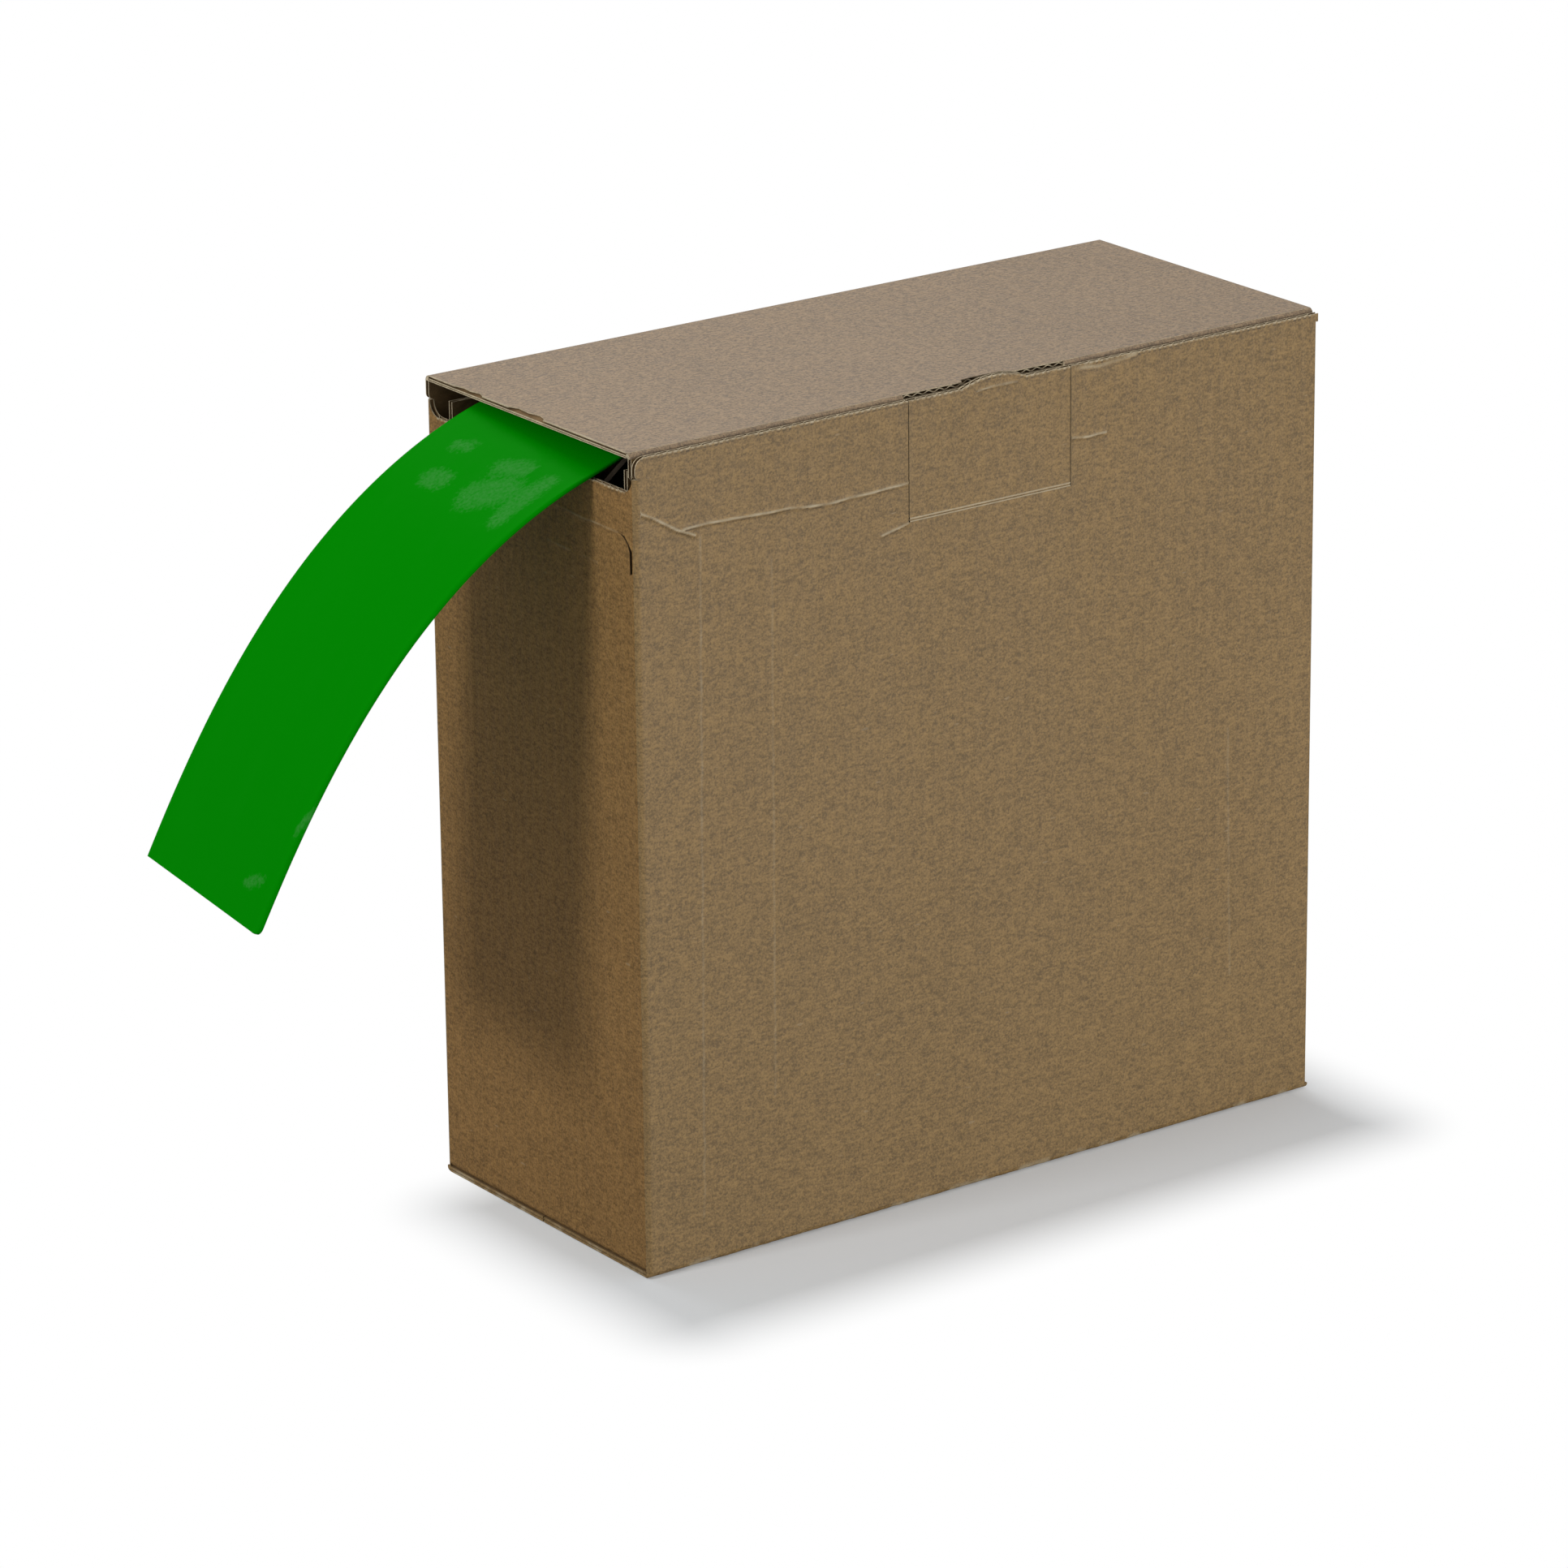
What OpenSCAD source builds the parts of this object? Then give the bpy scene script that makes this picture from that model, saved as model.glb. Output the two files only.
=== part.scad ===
// Corrugated dispenser carton with a reel of flat-wound green insulating tube.
//
// X runs along the carton, with the dispensing slot in the end at -X. The front face, which
// carries the lock tab, looks to -Y. Z is up, and the origin is the centre of the base.
// The tube leaves the top of the reel, rises to the lid, passes over the lip of the slot and
// hangs outside in an arc. All sizes are in millimetres and all angles in degrees.

/* [Carton] */
// Outside length of the carton, from the slot end to the closed end
carton_l = 220; // [183:1:264]
// Outside width of the carton, from the front face to the back face
carton_w = 94; // [86:1:115]
// Outside height of the carton, base to top of the lid
carton_h = 220.5; // [183:0.5:265]
// Thickness of the corrugated board
board_t = 1.5; // [1:0.1:2]
// Gap between a folded-in panel and the wall beside it
panel_gap = 0.7; // [0.4:0.1:1.2]
// Radius of the front wall's raw corner beside the slot
wall_corner_r = 3; // [1:0.5:6]
// How far the front wall's raw top edge lies below the top of the lid
raw_edge_drop = 0.9; // [0.4:0.1:2]
// Width of the glued lap behind the front wall
glue_lap_w = 18.5; // [12:0.5:30]
// Length of the two inner bottom flaps
inner_flap_l = 45; // [30:1:60]
// Length of the dust flap under the lid at the closed end
dust_flap_l = 52; // [30:1:70]
// Sideways place of the seam between the two outer bottom flaps
bottom_seam_y = 1.5; // [1:0.1:3]

/* [Dispensing slot] */
// Clear height of the slot between its lip and the underside of the lid
slot_h = 9; // [8:0.1:12]
// Radius of the slot's lower corners
slot_corner_r = 4; // [2:0.5:6]

/* [Lid and tuck flap] */
// Depth of the tuck flap below the lid
tuck_depth = 21.5; // [16:0.5:30]
// How far the tuck flap's end stands back in the slot
tuck_setback = 0.5; // [0.2:0.1:1]
// Length of the slanted corners of the tuck flap
tuck_corner_l = 15; // [8:1:24]
// Height of the opening cut in the crease behind the lock tab
crease_cut_h = 5; // [3:0.5:8]
// How far the lid's edge is cut back behind the lock tab
notch_depth = 1; // [0.5:0.1:3]
// How far the lid's edge is cut back behind the thumb hump
thumb_notch_depth = 3; // [2:0.1:6]
// Width of the deeper cut behind the thumb hump
thumb_notch_w = 14.7; // [10:0.1:18]

/* [Lock tab] */
// Width of the lock tab
tab_w = 52; // [40:1:64]
// Height of the lock tab from its foot crease to its straight top edge
tab_h = 31.9; // [24:0.1:40]
// Place of the tab's middle along the front wall, from the carton's middle
tab_x = 0.8; // [-10:0.1:10]
// Width of the thumb hump on the tab's top edge
hump_w = 20.9; // [18:0.1:26]
// Height of the thumb hump above the tab's top edge
hump_h = 2; // [1:0.1:2.5]
// Place of the hump's middle along the front wall, from the carton's middle
hump_x = 2.2; // [-4:0.1:8]
// Width of the knife cut round the tab
cut_w = 0.3; // [0.2:0.05:0.6]

/* [Reel cradle] */
// Gap between the two sides of the cradle
cradle_inner_w = 77.2; // [74:0.2:79]
// Height of the cradle's sides above its floor
cradle_side_h = 210; // [160:1:212]
// Gap between the cradle and the end walls of the carton
cradle_end_gap = 1; // [0.5:0.1:3]
// Gap between the edges of the cradle's floor and the front and back walls
floor_side_gap = 0.4; // [0.3:0.1:1]

/* [Reel] */
// Free space left above and at the ends of the reel's flanges, before it drops onto its axle
reel_room = 5.25; // [4:0.25:8]
// Gap between the flanges and the cradle floor
reel_foot_gap = 3; // [1.5:0.5:4]
// Thickness of a solid-board flange
flange_t = 2; // [1.5:0.1:3]
// Outside diameter of the paper core
core_d = 90; // [60:1:110]
// Wall of the paper core
core_wall = 3; // [2:0.1:5]
// Outside diameter of the paper axle tube
axle_d = 25; // [20:0.5:32]
// Wall of the axle tube
axle_wall = 2; // [1.5:0.1:4]
// Gap between each end of the axle and the carton's walls
axle_end_gap = 0.9; // [0.5:0.1:2]
// Running clearance, on the radius, between the axle and the holes it turns in
axle_clearance = 0.25; // [0.2:0.05:0.5]

/* [Tube] */
// Flat width of the tube
tube_w = 56; // [50:1:58]
// Thickness of the flattened tube, both of its walls together
tube_t = 1.2; // [0.8:0.1:1.6]
// How far the flanges stand above the windings
flange_rim = 12; // [8:0.5:20]
// Side gap between the windings and each flange
winding_side_gap = 1.5; // [1:0.1:2.5]
// Gap between windings and core, and between the windings and the end that leaves them
winding_gap = 0.3; // [0.2:0.05:0.5]
// Length of tube that hangs outside the slot
hanging_l = 145.7; // [90:0.1:180]
// Slope of the tube where it passes the lip, below horizontal
lip_slope = 19.4; // [16:0.1:24]
// Bend radius of the tube where it passes the lip
lip_bend_r = 105; // [90:1:140]
// Bend radius of the tube at its cut end
tip_bend_r = 630; // [400:10:1000]
// Gap between the tube's lower edge and the lip
lip_gap = 0.5; // [0.3:0.1:0.8]
// Gap between the tube and the underside of the lid
lid_gap = 0.7; // [0.5:0.1:1]
// Sideways swing of the hanging tube, seen from above
tube_yaw = 2; // [0:0.1:3]
// Tilt of the hanging tube across its width
tube_tilt = 5.3; // [0:0.1:5.5]
// Length inside the slot over which the tilt and the swing fade out
untwist_l = 24; // [16:1:30]
// Angle of the last turn that lies on the windings before the tube leaves them
wrap_angle = 20; // [10:1:40]
// Sideways place of the tube's middle at the lip
tube_y = -0.7; // [-2:0.1:2]

/* [Hidden] */
$fn = 96;

kraft = [0.53, 0.44, 0.32];
kraft_inside = [0.50, 0.41, 0.29];
greyboard = [0.52, 0.49, 0.45];
tube_green = [0.0, 0.5, 0.0];

// Small gaps and cuts of the folded panels
seam_gap = 0.5;
flap_play = 0.1;
bottom_flap_gap = 0.2;
dust_flap_front_gap = 1.3;
dust_flap_back_gap = 1;
glue_lap_foot_gap = 6;
glue_lap_top_gap = 3;
glue_lap_bevel = 4;
cradle_top_gap = 1;

// Levels of the carton
end_x = carton_l / 2;
face_y = carton_w / 2;
inner_y = face_y - board_t;
inner_x = end_x - board_t;
wall_foot_z = board_t;
floor_z = 2 * board_t;
lid_under_z = carton_h - board_t;
lip_z = lid_under_z - slot_h;
front_top_z = carton_h - raw_edge_drop;
dust_flap_z = lid_under_z - board_t - flap_play;
crease_y = inner_y - panel_gap;
tab_foot_z = front_top_z - tab_h;

// Levels of the cradle and the reel
cradle_floor_z = floor_z + board_t;
cradle_l = 2 * (inner_x - cradle_end_gap);
cradle_top_z = min(cradle_floor_z + cradle_side_h, dust_flap_z - cradle_top_gap);
flange_r = min(inner_x, (lid_under_z - cradle_floor_z) / 2) - reel_room;
axle_z = cradle_floor_z + flange_r + reel_foot_gap;
axle_hole_r = axle_d / 2 + axle_clearance;
core_l = tube_w + 2 * winding_side_gap;
winding_r = flange_r - flange_rim;

// Middle of the tube where it passes the lip, and the curve that it follows from the reel
lip_mid = [
    -end_x + sin(tube_yaw) * tube_w / 2,
    tube_y,
    lip_z + lip_gap + tube_t / 2 + sin(tube_tilt) * tube_w / 2
];
lip_mid_xz = [lip_mid.x, lip_mid.z];
lid_bend_r = (lid_under_z - lid_gap - tube_t / 2 - lip_mid.z) / (1 - cos(lip_slope));
lid_bend_centre = lip_mid_xz + lid_bend_r * [sin(lip_slope), -cos(lip_slope)];
reel_centre = [0, axle_z];
wrap_r = winding_r + winding_gap + tube_t / 2;
centre_line = lid_bend_centre - reel_centre;
rise_angle = atan2(centre_line.y, -centre_line.x) + asin((lid_bend_r - wrap_r) / norm(centre_line));
hanging_steps = 36;
wrap_steps = 6;
lid_bend_steps = 12;
straight_steps = 6;

// A panel that stands along X, from its outline in X and Z, with its front face at y
module panel_xz(y) {
    translate([0, y + board_t, 0]) rotate([90, 0, 0]) linear_extrude(board_t) children();
}

// A panel that stands along Y, from its outline in Y and Z, with its low face at x
module panel_yz(x) {
    translate([x, 0, 0]) rotate([90, 0, 90]) linear_extrude(board_t) children();
}

// A flat panel between two corners in X and Y, with its underside at z
module panel_xy(low, high, z) {
    translate([low.x, low.y, z]) cube([high.x - low.x, high.y - low.y, board_t]);
}

// The corner piece that a round of radius r leaves of a square, its right angle at the origin
module corner_fill(r) {
    difference() {
        square(r);
        translate([r, r]) circle(r);
    }
}

// The waste that rounding a corner of radius r removes, the corner being at the origin
module corner_waste(r) {
    difference() {
        translate([-1, -1]) square(r + 1);
        translate([r, r]) circle(r);
    }
}

module rect(x0, z0, x1, z1) {
    translate([x0, z0]) square([x1 - x0, z1 - z0]);
}

module front_wall() {
    color(kraft) panel_xz(-face_y) difference() {
        rect(-end_x, wall_foot_z, end_x, front_top_z);
        rect(tab_x - tab_w / 2 - cut_w, tab_foot_z - cut_w, tab_x + tab_w / 2 + cut_w, carton_h);
        translate([-end_x, front_top_z]) mirror([0, 1]) corner_waste(wall_corner_r);
    }
}

module back_wall() {
    color(kraft) panel_xz(inner_y) rect(-end_x, wall_foot_z, end_x, lid_under_z);
}

module slot_end_wall() {
    color(kraft) panel_yz(-end_x) {
        rect(-inner_y, floor_z, inner_y, lip_z);
        for (side = [0, 1])
            mirror([side, 0]) translate([-inner_y, lip_z]) corner_fill(slot_corner_r);
    }
}

module closed_end_wall() {
    color(kraft) panel_yz(inner_x) rect(-inner_y, floor_z, inner_y, dust_flap_z);
}

module glue_lap() {
    foot_z = cradle_floor_z + glue_lap_foot_gap;
    top_z = lid_under_z - tuck_depth - glue_lap_top_gap;
    color(kraft_inside) panel_xz(-inner_y) polygon([
        [-inner_x, foot_z], [-inner_x + glue_lap_w, foot_z + glue_lap_bevel],
        [-inner_x + glue_lap_w, top_z - glue_lap_bevel], [-inner_x, top_z]
    ]);
}

module front_bottom_flap() {
    color(kraft) panel_xy([-end_x, -face_y], [end_x, bottom_seam_y - seam_gap / 2], 0);
}

module back_bottom_flap() {
    color(kraft) panel_xy([-end_x, bottom_seam_y + seam_gap / 2], [end_x, face_y], 0);
}

module slot_end_bottom_flap() {
    reach_y = inner_y - bottom_flap_gap;
    color(kraft) panel_xy([-end_x, -reach_y], [-end_x + inner_flap_l, reach_y], wall_foot_z);
}

module closed_end_bottom_flap() {
    reach_y = inner_y - bottom_flap_gap;
    color(kraft) panel_xy([end_x - inner_flap_l, -reach_y], [end_x, reach_y], wall_foot_z);
}

module closed_end_dust_flap() {
    front_y = -crease_y + board_t + dust_flap_front_gap;
    color(kraft_inside) panel_xy([end_x - dust_flap_l, front_y], [end_x, inner_y - dust_flap_back_gap], dust_flap_z);
}

module lid() {
    color(kraft) difference() {
        panel_xy([-end_x, -crease_y], [end_x, face_y], lid_under_z);
        translate([tab_x - tab_w / 2, -crease_y - 1, lid_under_z - 1])
            cube([tab_w, notch_depth + 1, board_t + 2]);
        translate([hump_x - thumb_notch_w / 2, -crease_y - 1, lid_under_z - 1])
            cube([thumb_notch_w, thumb_notch_depth + 1, board_t + 2]);
    }
}

module lid_tuck_flap() {
    slot_x = -end_x + tuck_setback;
    closed_x = inner_x - panel_gap;
    low_z = lid_under_z - tuck_depth;
    corner_z = lip_z + slot_corner_r;
    color(kraft) panel_xz(-crease_y) difference() {
        polygon([
            [slot_x, lid_under_z], [slot_x, corner_z], [slot_x + tuck_corner_l, low_z],
            [closed_x - tuck_corner_l, low_z], [closed_x, corner_z], [closed_x, lid_under_z]
        ]);
        rect(tab_x - tab_w / 2, lid_under_z - crease_cut_h, tab_x + tab_w / 2, carton_h);
    }
}

module lock_tab() {
    hump_r = (hump_w * hump_w / 4 + hump_h * hump_h) / (2 * hump_h);
    color(kraft) panel_xz(-face_y) {
        rect(tab_x - tab_w / 2, tab_foot_z, tab_x + tab_w / 2, front_top_z);
        intersection() {
            translate([hump_x, front_top_z + hump_h - hump_r]) circle(hump_r);
            rect(hump_x - hump_w / 2, front_top_z - hump_h, hump_x + hump_w / 2, carton_h + hump_h);
        }
    }
}

module cradle_floor() {
    reach_y = inner_y - floor_side_gap;
    color(kraft_inside)
        panel_xy([-cradle_l / 2, -reach_y], [cradle_l / 2, reach_y], floor_z);
}

module cradle_side(y) {
    color(kraft_inside) panel_xz(y) difference() {
        rect(-cradle_l / 2, cradle_floor_z, cradle_l / 2, cradle_top_z);
        translate([0, axle_z]) circle(axle_hole_r);
    }
}

module cradle_front_side() {
    cradle_side(-cradle_inner_w / 2 - board_t);
}

module cradle_back_side() {
    cradle_side(cradle_inner_w / 2);
}

// A ring about the reel's axis, from y to y + length
module reel_ring(outer_r, inner_r, y, length) {
    translate([0, y + length, axle_z]) rotate([90, 0, 0]) difference() {
        cylinder(r = outer_r, h = length);
        translate([0, 0, -1]) cylinder(r = inner_r, h = length + 2);
    }
}

module axle_tube() {
    length = 2 * (inner_y - axle_end_gap);
    color(greyboard) reel_ring(axle_d / 2, axle_d / 2 - axle_wall, -length / 2, length);
}

module reel_core() {
    color(greyboard) reel_ring(core_d / 2, core_d / 2 - core_wall, -core_l / 2, core_l);
}

module reel_front_flange() {
    color(greyboard) reel_ring(flange_r, axle_hole_r, -core_l / 2 - flange_t, flange_t);
}

module reel_back_flange() {
    color(greyboard) reel_ring(flange_r, axle_hole_r, core_l / 2, flange_t);
}

module wound_tube() {
    color(tube_green) reel_ring(winding_r, core_d / 2 + winding_gap, -tube_w / 2, tube_w);
}

// Slope of the hanging tube below horizontal, at a distance s along it from the lip
function hanging_slope(s) =
    lip_slope + 180 / PI * (s / lip_bend_r + s * s / (2 * hanging_l) * (1 / tip_bend_r - 1 / lip_bend_r));

// Stations of the tube from the reel to the cut end, each [x, z, slope]
function arc_stations(centre, r, slope_from, slope_to, steps) = [
    for (i = [0:steps - 1])
        let (slope = slope_from + (slope_to - slope_from) * i / steps)
        [centre.x - r * sin(slope), centre.y + r * cos(slope), slope]
];

function straight_stations(from, to, slope, steps) = [
    for (i = [0:steps - 1]) let (p = from + (to - from) * i / steps) [p.x, p.y, slope]
];

function hanging_stations(steps) = let (step = hanging_l / steps) [
    for (i = 0, p = lip_mid_xz; i <= steps;
         p = p - step * [cos(hanging_slope((i + 0.5) * step)), sin(hanging_slope((i + 0.5) * step))],
         i = i + 1)
        [p.x, p.y, hanging_slope(i * step)]
];

rise_normal = [sin(rise_angle), cos(rise_angle)];
stations = concat(
    arc_stations(reel_centre, wrap_r, -rise_angle - wrap_angle, -rise_angle, wrap_steps),
    straight_stations(reel_centre + wrap_r * rise_normal, lid_bend_centre + lid_bend_r * rise_normal,
        -rise_angle, straight_steps),
    arc_stations(lid_bend_centre, lid_bend_r, -rise_angle, lip_slope, lid_bend_steps),
    hanging_stations(hanging_steps)
);

// Share of the tilt and the sideways place that a station has: all outside the lip, none at the reel
function twist_share(x) =
    let (t = max(0, min(1, (x - lip_mid.x) / untwist_l))) 1 - t * t * (3 - 2 * t);

// Turns a vector by the tube's tilt about X, then by its swing about Z
function turned(v, share) =
    let (a = tube_tilt * share, b = -tube_yaw * share, y = v.y * cos(a) - v.z * sin(a))
    [v.x * cos(b) - y * sin(b), v.x * sin(b) + y * cos(b), v.y * sin(a) + v.z * cos(a)];

// Points of the flattened tube's section, [across the width, across the thickness]
section = [
    [-tube_w / 2, 0], [-tube_w / 2 + tube_t / 2, tube_t / 2], [tube_w / 2 - tube_t / 2, tube_t / 2],
    [tube_w / 2, 0], [tube_w / 2 - tube_t / 2, -tube_t / 2], [-tube_w / 2 + tube_t / 2, -tube_t / 2]
];

function station_ring(st) = let (
    share = twist_share(st.x),
    middle = [lip_mid.x, tube_y * share, lip_mid.z]
        + turned([st.x - lip_mid.x, 0, st.y - lip_mid.z], share),
    across = turned([0, 1, 0], share),
    up = turned([-sin(st.z), 0, cos(st.z)], share)
) [for (q = section) middle + q.x * across + q.y * up];

module tube_lead() {
    sides = len(section);
    last = len(stations) - 1;
    points = [for (st = stations) each station_ring(st)];
    skin = [
        for (i = [0:last - 1], j = [0:sides - 1])
            let (a = i * sides + j, b = i * sides + (j + 1) % sides)
            each [[a, a + sides, b + sides], [a, b + sides, b]]
    ];
    ends = [
        [for (j = [0:sides - 1]) j],
        [for (j = [sides - 1:-1:0]) last * sides + j]
    ];
    color(tube_green) polyhedron(points, concat(skin, ends), convexity = 4);
}

front_wall();
back_wall();
slot_end_wall();
closed_end_wall();
glue_lap();
front_bottom_flap();
back_bottom_flap();
slot_end_bottom_flap();
closed_end_bottom_flap();
closed_end_dust_flap();
lid();
lid_tuck_flap();
lock_tab();
cradle_floor();
cradle_front_side();
cradle_back_side();
axle_tube();
reel_core();
reel_front_flange();
reel_back_flange();
wound_tube();
tube_lead();
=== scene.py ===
"""Studio scene of a corrugated dispenser carton that holds a reel of flat green tube.

Lengths are in metres in the frame of the part: X runs from the slot end to the closed end, the front
face with the lock tab looks to -Y, Z is up, and the origin is the centre of the base.
"""

import logging
import math
from collections import Counter
from contextlib import contextmanager
from dataclasses import dataclass
from enum import Enum
from functools import cached_property
from typing import Callable, Iterable, Iterator, Sequence

import bpy
from mathutils import Euler, Matrix, Vector, noise


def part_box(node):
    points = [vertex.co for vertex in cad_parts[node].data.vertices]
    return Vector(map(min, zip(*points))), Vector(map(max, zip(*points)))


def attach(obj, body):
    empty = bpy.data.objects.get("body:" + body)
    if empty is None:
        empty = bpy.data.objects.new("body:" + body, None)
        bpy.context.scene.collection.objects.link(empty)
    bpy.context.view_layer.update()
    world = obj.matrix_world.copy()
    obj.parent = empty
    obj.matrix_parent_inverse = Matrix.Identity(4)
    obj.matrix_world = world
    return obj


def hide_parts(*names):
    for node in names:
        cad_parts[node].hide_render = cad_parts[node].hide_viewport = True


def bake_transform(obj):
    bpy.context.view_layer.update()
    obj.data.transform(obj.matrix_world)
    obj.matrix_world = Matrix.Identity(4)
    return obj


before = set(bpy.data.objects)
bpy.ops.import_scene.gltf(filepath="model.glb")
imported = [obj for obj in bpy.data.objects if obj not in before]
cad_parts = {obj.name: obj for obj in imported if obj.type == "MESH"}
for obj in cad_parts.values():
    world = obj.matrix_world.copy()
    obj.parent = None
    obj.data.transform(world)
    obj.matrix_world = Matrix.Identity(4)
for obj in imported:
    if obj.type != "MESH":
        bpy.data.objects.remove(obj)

log = logging.getLogger("carton")

MM = 0.001
EDGE_INSET = 0.1 * MM
LINER, INSIDE, EDGE = 0, 1, 2
QUARTER = [math.radians(k * 15) for k in range(7)]
RIGHT_ANGLE = math.radians(90.0)
SHADE_ANGLE = math.radians(28.0)
Point2 = tuple[float, float]
Colour = tuple[float, float, float]
Station = tuple[float, float, float, float]


# ---------------------------------------------------------------- shader graph


class Val:
    """One number in a shader, on which Python arithmetic adds Math nodes."""

    def __init__(self, graph: "Graph", socket: bpy.types.NodeSocket) -> None:
        """Wraps a socket of a graph."""
        self.graph, self.socket = graph, socket

    def _math(self, operation: str, *others: "Val | float", clamp: bool = False) -> "Val":
        """Adds one Math node, whose result may be kept between 0 and 1."""
        inputs = {i: v for i, v in enumerate((self, *others))}
        return self.graph.add("ShaderNodeMath", {"operation": operation, "use_clamp": clamp}, inputs)

    def __add__(self, other: "Val | float") -> "Val":
        """Sum."""
        return self._math("ADD", other)

    __radd__ = __add__

    def __mul__(self, other: "Val | float") -> "Val":
        """Product."""
        return self._math("MULTIPLY", other)

    __rmul__ = __mul__

    def __sub__(self, other: "Val | float") -> "Val":
        """Difference."""
        return self._math("SUBTRACT", other)

    def __rsub__(self, other: "Val | float") -> "Val":
        """Difference from a plain number."""
        return self * -1.0 + other

    def __truediv__(self, other: "Val | float") -> "Val":
        """Quotient."""
        return self._math("DIVIDE", other)

    def clamp(self) -> "Val":
        """The value kept between 0 and 1."""
        return self._math("ADD", 0.0, clamp=True)

    def sin(self) -> "Val":
        """Sine of the value in radians."""
        return self._math("SINE")

    def root(self) -> "Val":
        """Square root of the value."""
        return self._math("SQRT")

    def over(self, least: "Val | float") -> "Val":
        """The value, or a least one if that is more."""
        return self._math("MAXIMUM", least)

    def abs(self) -> "Val":
        """The value without its sign."""
        return self._math("ABSOLUTE")

    def step_up(self, low: float, high: float) -> "Val":
        """A smooth step from 0 at low to 1 at high, which may be the lower of the two."""
        settings = {"interpolation_type": "SMOOTHSTEP"}
        return self.graph.add("ShaderNodeMapRange", settings, {"Value": self, "From Min": low, "From Max": high})


class Graph:
    """The nodes of a material or of the world, under construction."""

    def __init__(self, name: str, world: "bpy.types.World | None" = None) -> None:
        """Empties the nodes of a world, or of a new material of that name.

        Args:
            name: Name of the new material.
            world: A world, to be used instead of a new material.
        """
        self.owner = world or bpy.data.materials.new(name)
        self.owner.use_nodes = True
        self.tree = self.owner.node_tree
        self.tree.nodes.clear()

    @cached_property
    def coords(self) -> Val:
        """Object coordinates."""
        return self.add("ShaderNodeTexCoord", {}, {}, "Object")

    def add(self, kind: str, settings: dict, inputs: dict, output: "str | int" = 0) -> Val:
        """Adds one node.

        Args:
            kind: The node's type.
            settings: Properties of the node, set before its sockets.
            inputs: Values or links of its sockets, by name or number.
            output: The output wanted, by name or number.

        Returns:
            The output, wrapped.
        """
        node = self.tree.nodes.new(kind)
        for key, value in settings.items():
            setattr(node, key, value)
        for key, value in inputs.items():
            socket = node.inputs[key]
            if isinstance(value, Val):
                self.tree.links.new(value.socket, socket)
            else:
                socket.default_value = value
        return Val(self, node.outputs[output])

    def stretched(self, scale: Sequence[float]) -> Val:
        """Object coordinates stretched along the axes."""
        return self.add("ShaderNodeMapping", {"vector_type": "POINT"}, {"Vector": self.coords, "Scale": tuple(scale)})

    def axis(self, index: int) -> Val:
        """One of the object coordinates: 0 is X, 1 is Y and 2 is Z."""
        return self.add("ShaderNodeSeparateXYZ", {}, {0: self.coords}, index)

    def cloud(
        self, size: float, detail: float = 2.0, rough: float = 0.5, stretch: "Sequence[float] | None" = None,
    ) -> Val:
        """Noise of about -1 to 1.

        Args:
            size: Size of its spots in metres.
            detail: Finer octaves.
            rough: Share of the finer octaves.
            stretch: Factors on the coordinates.

        Returns:
            The noise.
        """
        vector = self.stretched(stretch) if stretch else self.coords
        inputs = {"Vector": vector, "Scale": 1.0 / size, "Detail": detail, "Roughness": rough}
        return self.add("ShaderNodeTexNoise", {}, inputs, "Fac") * 2.0 - 1.0

    def blend(self, share: "Val | float", a: "Val | Colour", b: "Val | Colour") -> Val:
        """Mixes two colours, with a share of the second one."""
        wide = [c if isinstance(c, Val) else (*c, 1.0) for c in (a, b)]
        return self.add("ShaderNodeMix", {"data_type": "RGBA"}, {0: share, 6: wide[0], 7: wide[1]}, 2)

    def shade(self, share: Val, base: Colour, low: float, high: float) -> Val:
        """Shades a base colour between two factors on it, by a share from 0 to 1."""
        dark, light = (tuple(c * k for c in base) for k in (low, high))
        return self.blend(share, dark, light)

    def wear_and_painted_light(self) -> Val:
        """The attribute of pale wear and painted highlight, with painted shade where it is negative."""
        return self.add("ShaderNodeAttribute", {"attribute_name": "wear_and_painted_light"}, {}, "Fac")

    def finish(self, colour: Val, rough: Val, relief: Val, depth: float, specular: float) -> bpy.types.Material:
        """Closes the graph with a Principled shader.

        Args:
            colour: Base colour.
            rough: Roughness.
            relief: Height of the surface, about 0 to 1.
            depth: What a height of 1 stands for, in metres.
            specular: Specular level.

        Returns:
            The material.
        """
        bump = self.add("ShaderNodeBump", {}, {"Strength": 1.0, "Distance": depth, "Height": relief})
        sockets = {"Base Color": colour, "Roughness": rough, "Normal": bump, "Specular IOR Level": specular}
        return self.close(self.add("ShaderNodeBsdfPrincipled", {}, sockets))

    def close(self, shader: Val, output: str = "ShaderNodeOutputMaterial") -> "bpy.types.Material | bpy.types.World":
        """Links a shader to an output node and gives the material or world."""
        self.tree.links.new(shader.socket, self.tree.nodes.new(output).inputs["Surface"])
        return self.owner


# ---------------------------------------------------------------- finishes


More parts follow.
